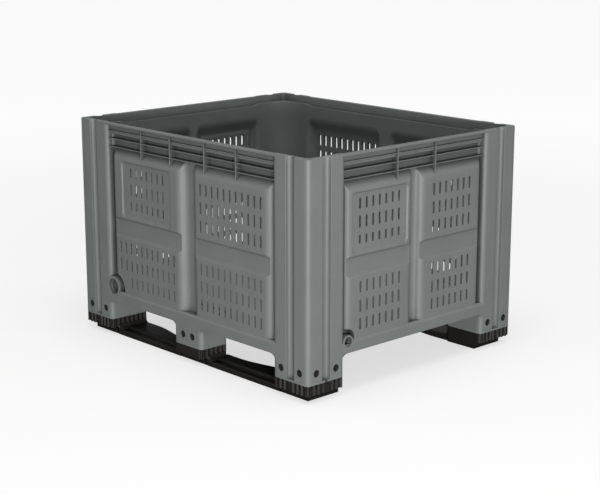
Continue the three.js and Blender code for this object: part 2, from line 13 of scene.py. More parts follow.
import bpy
import numpy as np
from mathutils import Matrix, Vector


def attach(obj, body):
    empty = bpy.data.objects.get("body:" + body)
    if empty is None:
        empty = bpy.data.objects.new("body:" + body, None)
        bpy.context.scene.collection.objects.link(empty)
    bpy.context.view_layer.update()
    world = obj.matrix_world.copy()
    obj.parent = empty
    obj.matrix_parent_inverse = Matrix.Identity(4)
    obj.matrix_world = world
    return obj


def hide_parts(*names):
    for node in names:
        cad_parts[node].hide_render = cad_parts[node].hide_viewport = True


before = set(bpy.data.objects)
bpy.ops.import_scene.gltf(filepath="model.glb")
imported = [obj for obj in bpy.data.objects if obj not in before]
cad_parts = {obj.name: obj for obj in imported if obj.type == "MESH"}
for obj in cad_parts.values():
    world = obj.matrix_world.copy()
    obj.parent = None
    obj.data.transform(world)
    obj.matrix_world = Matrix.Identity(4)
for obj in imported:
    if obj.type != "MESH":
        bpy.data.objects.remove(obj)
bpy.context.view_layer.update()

LOG = logging.getLogger("pallet_box")
Array = np.ndarray
Spot = tuple[float, float, float]
MM = 0.001
SHARP_EDGE = math.radians(34)


@dataclass(frozen=True)
class BoxSizes:
    """Sizes of the moulded box that all its walls share, in millimetres.

    Depths run inwards from a wall's outer face, and levels upwards from the ground.
    """

    length: float = 1200.0
    width: float = 1000.0
    height: float = 785.0
    skin: float = 5.0
    foot_bottom: float = 60.0
    beam_bottom: float = 134.0
    floor_top: float = 170.0
    floor_plate: float = 6.0
    ledge_outer: float = 168.0
    crest: float = 176.0
    beam_edge: float = 1.2
    beam_hollow: float = 24.0
    shoulder: tuple[tuple[float, float], ...] = ((0.4, 168.3), (5.4, 175.2), (6.6, 175.9), (8.5, 176.0))
    foot_shoulder: tuple[tuple[float, float], ...] = ((0.0, 168.0), (5.6, 175.4), (8.0, 176.0))
    fork_fillet: float = 17.0
    floor_rib: float = 4.0
    floor_ribs: tuple[int, int] = (9, 7)
    panel_depth: float = 5.0
    panel_top: float = 664.0
    panel_slope: float = 33.0
    panel_radius: float = 24.0
    face_blend: float = 6.0
    slope_soft: float = 4.0
    wall_depth: float = 31.0
    fillet: float = 2.5
    side_slope: float = math.radians(60)
    column_fillet: float = 15.0
    column_fade: float = 12.0
    channel_soft: float = 20.0
    column: float = 163.0
    edge_radius: float = 16.0
    groove_start: float = 63.0
    groove_end: float = 100.0
    groove_depth: float = 16.0
    groove_draft: float = 2.0
    groove_bend: float = 14.5
    groove_edge: float = 1.5
    groove_foot: float = 67.0
    middle_width: float = 146.0
    middle_depth: float = 120.0
    inside_radius: float = 100.0
    ledge_inside: float = 750.0
    ledge_step: float = 8.0
    step_start: float = 165.0
    step_length: float = 30.0
    rim_drop: float = 1.5
    mouth: float = 21.0
    rim_depth: float = 16.0
    rim_lip: float = 777.0
    rib: float = 3.0
    rib_depth: float = 8.0
    rib_edge: float = 1.1
    rib_sink: float = 4.0
    rib_root: float = 2.5
    rib_levels: tuple[float, ...] = (729.0, 700.0)
    rim_rib_level: float = 757.0
    top_edge: float = 1.5

    @property
    def inner_depth(self) -> float:
        """Depth of the load space's face."""
        return self.wall_depth + self.skin


@dataclass(frozen=True)
class RecessSizes:
    """The band and the label recess of a panel."""

    band_bottom: float = 384.0
    band_top: float = 446.0
    band_depth: float = 8.0
    band_edge: float = 5.5
    label_bottom: float = 459.0
    label_top: float = 653.0
    label_depth: float = 5.0
    label_radius: float = 12.0
    edge: float = 3.0
    stud_inset: float = 14.0
    stud_radius: float = 3.6
    stud_height: float = 1.6
    stud_slope: float = 1.5
    stud_rise: float = 16.0
    stud_drops: tuple[float, ...] = (21.0, 92.0, 162.0)
    stud_share: float = 0.62


@dataclass(frozen=True)
class SlotSizes:
    """The ventilation slots."""

    half_width: float = 4.3
    draft: float = 1.1
    land: float = 2.6
    tile_half_width: float = 6.0
    tile_margin: float = 4.0
    lip: float = 0.35
    upper_rows: tuple[tuple[float, float], ...] = ((595.5, 637.0), (533.0, 574.5), (469.5, 511.5))
    lower_rows: tuple[tuple[float, float], ...] = ((323.5, 365.0), (260.5, 302.0), (200.0, 240.0))
    label_rows: tuple[tuple[float, float], ...] = ((598.5, 635.0), (536.0, 577.0), (483.5, 514.5))
    label_columns: int = 7


@dataclass(frozen=True)
class PortSizes:
    """A drain port and the round pocket that it stands in."""

    centre: float
    level: float
    bore: float
    ring: float
    step: float
    floor: float
    pocket_u: float
    pocket_z: float
    pocket: float
    pocket_edge: float = 3.2
    bore_step: float = 12.0

    def around(self, value: float) -> Array:
        """Grid lines across the ring, whose centre lies at the value."""
        return near(value, self.ring + 2, STEP.port)


@dataclass(frozen=True)
class WallSizes:
    """The sizes that differ between the long and the short walls."""

    name: str
    length: float
    gap: float
    channel: float
    columns: int
    pitch: float
    label_margin: float
    outer_bend: float
    channel_bend: float
    missing: int
    ribs: tuple[float, ...]
    port: PortSizes


@dataclass(frozen=True)
class RunnerSizes:
    """Sizes of a runner, in the frame of the long wall above it."""

    top: float = 59.7
    skirt_bottom: float = 25.0
    base_inset: float = 28.0
    base_edge: float = 1.5
    skirt_rim: float = 5.0
    skirt_hollow: float = 12.0
    skirt_plain: float = 8.0
    strip_wide: float = 155.0
    strip_narrow: float = 120.0
    strip_inner: float = 22.0
    strip_profile: tuple[Spot, ...] = ((28.0, 18.0, 4.0), (44.0, 18.0, 3.0), (53.0, 9.0, 4.0), (61.0, 9.0, 4.0))
    strip_crest: tuple[float, float] = (73.0, 130.0)
    strip_edge: float = 3.0
    scoop_radius: float = 15.0
    scoop_top: float = 35.0
    scoop_front: float = 30.0
    scoop_round: float = 14.0
    scoop_foot: float = 14.0
    scoop_back: float = 16.0
    flute_pitch: float = 20.0
    flute_depth: float = 5.5
    button_recess: float = 2.5
    button_gap: float = 0.5
    button_dish: float = 0.8
    plate_half: float = 16.0
    plate_depths: tuple[float, float] = (5.5, 13.5)
    plate_levels: tuple[float, float] = (50.0, 115.0)
    hole_radius: float = 12.5
    hole_tile: float = 15.0
    hole_level: float = 97.0
    hole_places: tuple[float, ...] = (39.0, 125.0)
    middle_holes: tuple[float, ...] = (575.0, 625.0)


@dataclass(frozen=True)
class GridSteps:
    """Spacing of the grid lines, in millimetres: broad runs first, then small forms."""

    wall: float = 14.0
    foot: float = 20.0
    column: float = 40.0
    shoe: float = 6.0
    bend: float = 1.5
    sharp: float = 0.75
    stud: float = 1.2
    band: float = 1.1
    slope: float = 3.0
    pocket: float = 1.4
    pocket_margin: float = 3.0
    port: float = 2.0


STEP = GridSteps()
BOX = BoxSizes()
RECESS = RecessSizes()
SLOT = SlotSizes()
RUNNER = RunnerSizes()
LONG_WALL = WallSizes(
    name="long",
    length=BOX.length,
    gap=18.0,
    channel=62.0,
    columns=11,
    pitch=30.2,
    label_margin=35.0,
    outer_bend=18.0,
    channel_bend=24.0,
    missing=2,
    ribs=(-251.0, -91.0, 91.0, 251.0),
    port=PortSizes(
        centre=176.0, level=188.0, bore=28.5, ring=38.0, step=24.0, floor=26.0,
        pocket_u=178.0, pocket_z=180.0, pocket=61.0,
    ),
)
SHORT_WALL = WallSizes(
    name="short",
    length=BOX.width,
    gap=10.0,
    channel=34.0,
    columns=7,
    pitch=30.0,
    label_margin=4.0,
    outer_bend=0.0,
    channel_bend=20.0,
    missing=0,
    ribs=(-91.0, 91.0),
    port=PortSizes(
        centre=180.0, level=172.0, bore=16.0, ring=22.5, step=12.5, floor=24.0,
        pocket_u=182.0, pocket_z=182.0, pocket=28.0,
    ),
)


@dataclass(frozen=True)
class Finish:
    """A moulded plastic finish.

    Colours are linear, and mottle is how far they vary. Grain and wave are the heights of the fine
    and the broad bumps in metres, and gap is how far the painted shade reaches, in metres: ambient
    occlusion that darkens the colour in narrow gaps and hollows.
    """

    name: str
    slot: str
    colour: tuple[float, float, float]
    mottle: float
    roughness: float
    roughness_spread: float
    grain: float
    wave: float
    specular: float
    gap: float


class Finishes(Enum):
    """The two plastics."""

    GREY = Finish(
        "grey_plastic", "box_plastic", (0.16, 0.172, 0.167), mottle=0.04, roughness=0.5,
        roughness_spread=0.05, grain=1.2e-4, wave=2.5e-4, specular=0.4, gap=0.055,
    )
    BLACK = Finish(
        "black_plastic", "runner_plastic", (0.014, 0.0128, 0.0118), mottle=0.12, roughness=0.45,
        roughness_spread=0.08, grain=1.5e-4, wave=2.5e-4, specular=0.28, gap=0.03,
    )


@dataclass(frozen=True)
class Placement:
    """Where a wall's own frame lies in the row frame: quarter turns, then an offset."""

    turns: int
    x: float
    y: float

    def apply(self, points: Array) -> Array:
        """Moves points into the row frame.

        Args:
            points: an array whose last axis is u, d and z.

        Returns:
            The same points as x, y and z.
        """
        c, s = ((1, 0), (0, 1), (-1, 0), (0, -1))[self.turns]
        u, d, z = points[..., 0], points[..., 1], points[..., 2]
        return xyz(self.x + c * u - s * d, self.y + s * u + c * d, z)


FRONT = Placement(0, -BOX.length / 2, -BOX.width / 2)
RIGHT = Placement(1, BOX.length / 2, -BOX.width / 2)
REAR = Placement(2, BOX.length / 2, BOX.width / 2)
LEFT = Placement(3, -BOX.length / 2, BOX.width / 2)
HERE = Placement(0, 0.0, 0.0)
SIDES = (
    ("front", LONG_WALL, FRONT),
    ("right", SHORT_WALL, RIGHT),
    ("rear", LONG_WALL, REAR),
    ("left", SHORT_WALL, LEFT),
)


def xyz(u: Array | float, d: Array | float, z: Array | float) -> Array:
    """Points from places, depths and heights, spread over one shape."""
    return np.stack(np.broadcast_arrays(u, d, z), axis=-1)


class Surface:
    """Gathers grids of points into one mesh."""

    def __init__(self) -> None:
        self.points: list[Array] = []
        self.faces: list[Array] = []
        self.count = 0

    def grids(
        self, points: Array, keep: Array | None = None, closed: bool = False, flip: bool = False
    ) -> "Surface":
        """Adds many grids alike, as quads.

        Args:
            points: an array of grids, rows, columns and 3.
            keep: which cells of each grid to keep, or None for all.
            closed: joins the last column to the first.
            flip: turns the faces over.

        Returns:
            The surface itself.
        """
        many, rows, columns = points.shape[:3]
        index = self.count + np.arange(many * rows * columns).reshape(many, rows, columns)
        if closed:
            index = np.concatenate([index, index[:, :, :1]], axis=2)
        corners = [index[:, :-1, :-1], index[:, :-1, 1:], index[:, 1:, 1:], index[:, 1:, :-1]]
        quads = np.stack(corners, axis=-1)
        quads = quads[np.broadcast_to(keep, quads.shape[:3])] if keep is not None else quads
        quads = quads.reshape(-1, 4)
        self.faces.append(quads[:, ::-1] if flip else quads)
        self.points.append(points.reshape(-1, 3))
        self.count += many * rows * columns
        return self

    def grid(
        self, points: Array, keep: Array | None = None, closed: bool = False, flip: bool = False
    ) -> "Surface":
        """Adds one grid of rows, columns and 3, as grids does."""
        return self.grids(points[None], None if keep is None else keep[None], closed, flip)

    def sheet(self, u: tuple[float, float], d: tuple[float, float], z: float, flip: bool = False) -> None:
        """Adds a level rectangle between two places and two depths."""
        self.grid(xyz(np.array(u), np.array(d)[:, None], z), flip=flip)

    def block(self, low: Spot, high: Spot) -> None:
        """Adds an upright block between two corners."""
        u = np.array([low[0], high[0], high[0], low[0]])
        d = np.array([low[1], low[1], high[1], high[1]])
        self.grid(xyz(u, d, np.array([[low[2]], [high[2]]])), closed=True)
        for z, flip in ((low[2], True), (high[2], False)):
            self.sheet((low[0], high[0]), (low[1], high[1]), z, flip)

    def place(self, other: "Surface", placement: Placement = HERE) -> None:
        """Adds another surface, moved into place."""
        for points, faces in zip(other.points, other.faces):
            self.points.append(placement.apply(points))
            self.faces.append(faces + self.count)
        self.count += other.count

    def made_object(self, name: str, finish: Finish, materials: dict[str, bpy.types.Material]) -> bpy.types.Object:
        """Makes the Blender object, smooth except at sharp edges.

        Args:
            name: the piece's name.
            finish: its plastic.
            materials: the made materials by finish name.

        Returns:
            The object, riding on the body.
        """
        points = np.concatenate(self.points) * MM
        faces = np.concatenate(self.faces).astype(np.int32)
        mesh = bpy.data.meshes.new(name)
        mesh.vertices.add(len(points))
        mesh.vertices.foreach_set("co", points.astype(np.float32).ravel())
        mesh.loops.add(faces.size)
        mesh.loops.foreach_set("vertex_index", faces.ravel())
        mesh.polygons.add(len(faces))
        mesh.polygons.foreach_set("loop_start", np.arange(0, faces.size, 4, dtype=np.int32))
        mesh.polygons.foreach_set("use_smooth", np.ones(len(faces), dtype=bool))
        mesh.update(calc_edges=True)
        mesh.set_sharp_from_angle(angle=SHARP_EDGE)
        mesh.materials.append(materials[finish.name])
        piece = bpy.data.objects.new(name, mesh)
        bpy.context.scene.collection.objects.link(piece)
        weighted = piece.modifiers.new("weighted", "WEIGHTED_NORMAL")
        weighted.keep_sharp = True
        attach(piece, "root")
        LOG.info("%s: %d points, %d quads", name, len(points), len(faces))
        return piece


def rounded_path(corners: list[Spot], closed: bool = False, facets: int = 6) -> Array:
    """A flat path with rounded corners.

    Args:
        corners: each corner's two coordinates and its radius.
        closed: whether the path returns to its start.
        facets: facets on a quarter turn.

    Returns:
        The path's points, as an array of pairs.
    """
    spots = np.array([c[:2] for c in corners], float)
    last = len(corners) - 1
    parts = []
    for i, (_, _, radius) in enumerate(corners):
        here = spots[i]
        if radius <= 0 or (not closed and i in (0, last)):
            parts.append(here[None])
            continue
        before = here - spots[i - 1]
        after = spots[(i + 1) % len(corners)] - here
        before = before / np.linalg.norm(before)
        after = after / np.linalg.norm(after)
        turn = math.atan2(before[0] * after[1] - before[1] * after[0], float(before @ after))
        start = here - before * radius * math.tan(abs(turn) / 2)
        side = math.copysign(1.0, turn)
        centre = start + radius * side * np.array([-before[1], before[0]])
        angle = np.linspace(0, turn, max(2, math.ceil(facets * abs(turn) / (math.pi / 2))) + 1)
        arm = start - centre
        parts.append(centre + np.stack([
            arm[0] * np.cos(angle) - arm[1] * np.sin(angle),
            arm[0] * np.sin(angle) + arm[1] * np.cos(angle),
        ], axis=-1))
    return np.concatenate(parts)


def lines(start: float, end: float, step: float, breaks: Array) -> Array:
    """Grid lines from start to end, no further apart than step, with one at each break."""
    inside = breaks[(breaks > start + 0.05) & (breaks < end - 0.05)]
    fixed = np.unique(np.round(np.concatenate([[start, end], inside]), 3))
    runs = [
        np.linspace(a, b, max(1, math.ceil((b - a) / step)) + 1)[:-1]
        for a, b in zip(fixed[:-1], fixed[1:])
    ]
    return np.concatenate([*runs, [end]])


def refined(path: Array, step: float, breaks: Array) -> Array:
    """The path with its straight runs cut up, with a point at each break of its first coordinate."""
    parts = []
    for a, b in zip(path[:-1], path[1:]):
        span = float(np.linalg.norm(b - a))
        if span < 1e-6:
            continue
        share = np.array([0.0])
        if abs(b[0] - a[0]) > 0.5 * span:
            share = (breaks - a[0]) / (b[0] - a[0])
        marks = lines(0.0, span, step, share * span)
        parts.append(a + (b - a) * (marks[:-1] / span)[:, None])
    parts.append(path[-1:])
    return np.concatenate(parts)


def near(value: float, reach: float, step: float) -> Array:
    """Lines on both sides of a value."""
    return np.arange(value - reach, value + reach + step / 2, step)


def tile_edges(*values: float) -> Array:
    """Grid lines at the edges and in the middle of snap hole tiles."""
    return np.concatenate([near(value, RUNNER.hole_tile, RUNNER.hole_tile) for value in values])


def smoothstep(x: Array) -> Array:
    """Rises smoothly from 0 at 0 to 1 at 1."""
    x = np.clip(x, 0.0, 1.0)
    return x * x * (3 - 2 * x)


def inside_rect(u: Array, z: Array, box: tuple[float, float, float, float], radius: float, edge: float) -> Array:
    """How far inside a rounded rectangle each point is, from 0 outside to 1 inside.

    Args:
        u: along the wall.
        z: height.
        box: the rectangle's two ends along the wall, then its bottom and top.
        radius: its corner radius.
        edge: half the width of its sloping edge.

    Returns:
        The share at each point.
    """
    qu = np.abs(u - (box[0] + box[1]) / 2) - (box[1] - box[0]) / 2 + radius
    qz = np.abs(z - (box[2] + box[3]) / 2) - (box[3] - box[2]) / 2 + radius
    outside = np.hypot(np.maximum(qu, 0), np.maximum(qz, 0)) + np.minimum(np.maximum(qu, qz), 0) - radius
    return smoothstep((edge - outside) / (2 * edge))


def smooth_max(a: Array, b: Array, blend: float) -> Array:
    """The larger of two arrays, with a rounded change-over."""
    return 0.5 * (a + b + np.sqrt((a - b) ** 2 + blend**2))


class Wall:
    """One kind of wall: its panels, recesses and slots."""

    def __init__(self, sizes: WallSizes) -> None:
        self.sizes = sizes
        middle = sizes.length / 2
        self.spans = (
            (BOX.column + sizes.gap, middle - sizes.channel / 2),
            (middle + sizes.channel / 2, sizes.length - BOX.column - sizes.gap),
        )
        self.slots = self._slots()

    def label(self) -> tuple[float, float, float, float]:
        """The label recess's two ends, bottom and top."""
        start, end = self.spans[0]
        inset = BOX.panel_radius + self.sizes.label_margin
        return (start + inset, end - inset, RECESS.label_bottom, RECESS.label_top)

    def _slots(self) -> Array:
        """Each slot's place along the wall, bottom, top and face depth."""

        def spread(columns: int) -> Array:
            """Offsets of that many slot columns from a panel's middle."""
            return self.sizes.pitch * (np.arange(columns) - (columns - 1) / 2)

        full = spread(self.sizes.columns)
        labelled = (SLOT.label_rows, spread(SLOT.label_columns), BOX.panel_depth + RECESS.label_depth)
        rows = []
        for upper, (start, end) in zip((labelled, (SLOT.upper_rows, full, BOX.panel_depth)), self.spans):
            beside_port = full[self.sizes.missing:] if upper is labelled else full
            groups = [(SLOT.lower_rows[:-1], full, BOX.panel_depth)]
            groups += [(SLOT.lower_rows[-1:], beside_port, BOX.panel_depth), upper]
            for levels, offsets, depth in groups:
                for low, high in levels:
                    rows.extend(((start + end) / 2 + offset, low, high, depth) for offset in offsets)
        return np.array(rows)

    def studs(self) -> list[tuple[float, float]]:
        """The place and height of each stud near the edges of the label recess."""
        left, right, bottom, top = self.label()
        middle = (left + right) / 2
        side = (right - left) / 2 - RECESS.stud_inset
        spots = [(middle + way * side, top - drop) for way in (-1, 1) for drop in RECESS.stud_drops]
        low = bottom + RECESS.stud_rise
        return spots + [(middle + way * side * RECESS.stud_share, low) for way in (-1, 0, 1)]

    def breaks(self) -> tuple[Array, Array]:
        """Where the grid needs a line, along the wall and in height."""
        label = self.label()
        port = self.sizes.port
        along = [self.slots[:, 0] - SLOT.tile_half_width, self.slots[:, 0] + SLOT.tile_half_width]
        height = [self.slots[:, 1] - SLOT.tile_margin, self.slots[:, 2] + SLOT.tile_margin]
        for values, marks in ((label[:2], along), (label[2:], height)):
            for value in values:
                marks.append(near(value, RECESS.label_radius, STEP.bend))
                marks.append(near(value, RECESS.edge, STEP.sharp))
        for place, level in self.studs():
            along.append(near(place, RECESS.stud_radius, STEP.stud))
            height.append(near(level, RECESS.stud_radius, STEP.stud))
        for value in (RECESS.band_bottom, RECESS.band_top):
            height.append(near(value, RECESS.band_edge, STEP.band))
        for value in (BOX.column, self.sizes.length - BOX.column):
            along.append(near(value, BOX.column_fillet, STEP.bend))
        along.append(near(port.pocket_u, port.pocket + STEP.pocket_margin, STEP.pocket))
        height.append(near(port.pocket_z, port.pocket + STEP.pocket_margin, STEP.pocket))
        height.append(near(BOX.panel_top + BOX.panel_slope / 2, BOX.panel_slope, STEP.slope))
        return np.concatenate(along), np.concatenate(height)

    def depths(self, path: Array, z: Array, layer: float) -> Array:
        """Depth of a skin at every grid point.

        Args:
            path: the skin's plan path.
            z: the grid's heights.
            layer: 0 for the outer face, or the skin's thickness for the inner one.

        Returns:
            An array of rows by columns.
        """
        u = path[None, :, 0]
        height = z[:, None]
        depth = np.broadcast_to(path[None, :, 1], (len(z), len(path))).copy()
        face = BOX.panel_depth + layer
        deep = BOX.wall_depth + layer
        on_face = smoothstep((face + BOX.face_blend - depth) / BOX.face_blend)
        outside = np.abs(height - (RECESS.band_top + RECESS.band_bottom) / 2)
        outside -= (RECESS.band_top - RECESS.band_bottom) / 2
        band = RECESS.band_depth * smoothstep((RECESS.band_edge - outside) / (2 * RECESS.band_edge))
        depth = np.maximum(depth, face + band)
        depth += on_face * RECESS.label_depth * inside_rect(
            u, height, self.label(), RECESS.label_radius, RECESS.edge + 0.8 * layer
        )
        slope = (deep - face) / BOX.panel_slope
        limit = face + (height - (BOX.panel_top - layer)) * slope
        limit = -smooth_max(-limit, np.full_like(limit, -deep), 0.1 + 2 * layer)
        depth = smooth_max(depth, limit, BOX.slope_soft + 2 * layer)
        depth += on_face * self.dimples(u, height)
        port = self.sizes.port
        reach = np.hypot(u - port.pocket_u, height - port.pocket_z)
        room = smoothstep((port.pocket + layer - reach) / port.pocket_edge + 0.5)
        depth = np.minimum(depth + (deep - depth) * room, deep)
        bend = BOX.column_fillet
        beside = np.minimum(u, self.sizes.length - u) - BOX.column
        short = bend - np.clip(beside, 0, bend)
        fillet = deep - bend + np.sqrt(np.maximum(bend**2 - short**2, 0.0))
        above = smoothstep((height - BOX.panel_top - BOX.panel_slope) / BOX.column_fade + 1)
        return np.where(layer > 0, depth, np.minimum(depth, fillet + (1 - above) * bend * 3))

    def dimples(self, u: Array, height: Array) -> Array:
        """The label recess's raised studs, as a change of depth."""
        total = np.zeros(np.broadcast(u, height).shape)
        for place, level in self.studs():
            reach = np.hypot(u - place, height - level)
            total -= RECESS.stud_height * smoothstep((RECESS.stud_radius - reach) / RECESS.stud_slope)
        return total

    def side(self, place: float, way: float, layer: float, bend: float) -> list[Spot]:
        """Corners of one side of a panel, from its face down to the deep wall.

        Args:
            place: the side's place along the wall.
            way: 1 for a panel's right side, -1 for its left.
            layer: 0 for the outer face, or the skin's thickness for the inner one.
            bend: radius at the deep wall, or 0 for an upright side.

        Returns:
            The two corners with their radii.
        """
        face = BOX.panel_depth + layer
        deep = BOX.wall_depth + layer
        radius = BOX.panel_radius
        if layer > 0:
            bend = max(bend, BOX.channel_soft)
        if bend == 0:
            return [(place - way * layer, face, radius - layer), (place - way * layer, deep, BOX.fillet)]
        half = math.tan(BOX.side_slope / 2)
        top = place + way * (radius * half - radius - layer * half)
        low = top + way * (deep - face) / math.tan(BOX.side_slope)
        return [(top, face, radius - layer), (low, deep, bend + layer)]

    def skin(self, layer: float, bottom: float, top: float) -> Surface:
        """The outer or inner face of the whole wall, with rectangles left open for the slots."""
        deep = BOX.wall_depth + layer
        length = self.sizes.length
        first = BOX.column if layer == 0 else BOX.inner_depth + BOX.inside_radius
        corners = [(first, deep, 0.0)]
        bends = (self.sizes.outer_bend, self.sizes.channel_bend)
        for (start, end), (left, right) in zip(self.spans, (bends, bends[::-1])):
            corners.extend(reversed(self.side(start, -1.0, layer, left)))
            corners.extend(self.side(end, 1.0, layer, right))
        corners.append((length - first, deep, 0.0))
        along, height = self.breaks()
        path = refined(rounded_path(corners), STEP.wall, along)
        z = lines(bottom, top, STEP.wall, height)
        depth = self.depths(path, z, layer)
        middle_u = (path[:-1, 0] + path[1:, 0]) / 2
        middle_z = (z[:-1] + z[1:]) / 2
        keep = np.ones((len(middle_z), len(middle_u)), bool)
        for place, low, high, _ in self.slots:
            inside_u = np.abs(middle_u - place) < SLOT.tile_half_width
            inside_z = (middle_z > low - SLOT.tile_margin) & (middle_z < high + SLOT.tile_margin)
            keep &= ~(inside_z[:, None] & inside_u[None, :])
        return Surface().grid(xyz(path[:, 0], depth, z[:, None]), keep, flip=layer > 0)

    def slot_tubes(self) -> Surface:
        """A slot's face, lip, sides and back for every slot, as one array."""
        place, low, high, depth = self.slots.T[:, :, None]
        straight = (high - low) / 2 - SLOT.half_width
        middle = (high + low) / 2
        half = SLOT.tile_half_width
        over = SLOT.half_width + SLOT.tile_margin
        corner = math.atan2(over, half)
        quarter = np.array([0, corner / 2, corner, (corner + math.pi / 2) / 2])
        angle = np.concatenate([quarter, [math.pi / 2], math.pi - quarter[::-1]])
        angle = np.concatenate([angle, angle + math.pi])[None, :]
        end = np.where(np.arange(angle.size) < angle.size / 2, 1.0, -1.0)[None, :] * straight
        cos, sin = np.cos(angle), np.sin(angle)
        reach = np.minimum(half / np.maximum(np.abs(cos), 1e-9), over / np.maximum(np.abs(sin), 1e-9))
        rings = []
        for radius, back in (
            (reach, 0.0),
            (SLOT.half_width + SLOT.lip, 0.0),
            (SLOT.half_width + SLOT.lip * 0.3, SLOT.lip * 0.3),
            (SLOT.half_width, SLOT.lip),
            (SLOT.half_width + SLOT.draft, SLOT.land),
            (SLOT.half_width + SLOT.draft * 1.4, BOX.skin),
            (reach, BOX.skin),
        ):
            rings.append(xyz(place + radius * cos, depth + back, middle + end + radius * sin))
        return Surface().grids(np.stack(rings, axis=1), closed=True, flip=True)


def snap_hole(place: float) -> Surface:
    """A round snap hole through a flat face, in a square tile of the face."""
    radius, half = RUNNER.hole_radius, RUNNER.hole_tile
    angle = np.arange(0, 2 * math.pi, math.pi / 12)
    cos, sin = np.cos(angle), np.sin(angle)
    reach = half / np.maximum(np.abs(cos), np.abs(sin))
    rings = []
    for r, back in ((reach, 0.0), (radius + 0.7, 0.0), (radius + 0.2, 0.2), (radius, 0.7), (radius, BOX.skin)):
        rings.append(xyz(place + r * cos, back, RUNNER.hole_level + r * sin))
    return Surface().grid(np.stack(rings), closed=True, flip=True)


def outside_tiles(points: Array, holes: tuple[float, ...]) -> Array:
    """Which cells of a grid lie outside the square tiles of the snap holes on its outer faces."""
    cell = (points[:-1, :-1] + points[1:, 1:]) / 2
    keep = np.ones(cell.shape[:2], bool)
    for along, deep in ((0, 1), (1, 0)):
        for hole in holes:
            away = np.abs(cell[..., [along, 2]] - (hole, RUNNER.hole_level)).max(axis=-1)
            keep &= ~((away < RUNNER.hole_tile) & (cell[..., deep] < 2))
    return keep


def revolved(section: Array, place: float, level: float, steps: int = 48) -> Surface:
    """A section of radius and depth turned round an axis that runs into the wall."""
    angle = np.linspace(0, 2 * math.pi, steps, endpoint=False)
    radius, depth = section[:, :1], section[:, 1:]
    points = xyz(place + radius * np.cos(angle), depth, level + radius * np.sin(angle))
    return Surface().grid(points, closed=True)


def beside_port(points: Array, keep: Array, port: PortSizes) -> Array:
    """Opens a face behind a port's ring and lets it sink a little under the ring.

    Args:
        points: a grid of points, changed in place.
        keep: the grid's kept cells.
        port: the port.

    Returns:
        The kept cells without those inside the ring.
    """
    reach = np.hypot(points[..., 0] - port.centre, points[..., 2] - port.level)
    shallow = points[..., 1] < BOX.edge_radius
    points[..., 1] += np.where(shallow & (reach < port.ring - 0.5), 0.5, 0.0)
    cell = (points[:-1, :-1] + points[1:, :-1] + points[:-1, 1:] + points[1:, 1:]) / 4
    middle = (port.bore + port.ring) / 2
    near_bore = np.hypot(cell[..., 0] - port.centre, cell[..., 2] - port.level) < middle
    return keep & ~(near_bore & (cell[..., 1] < BOX.wall_depth - 4))


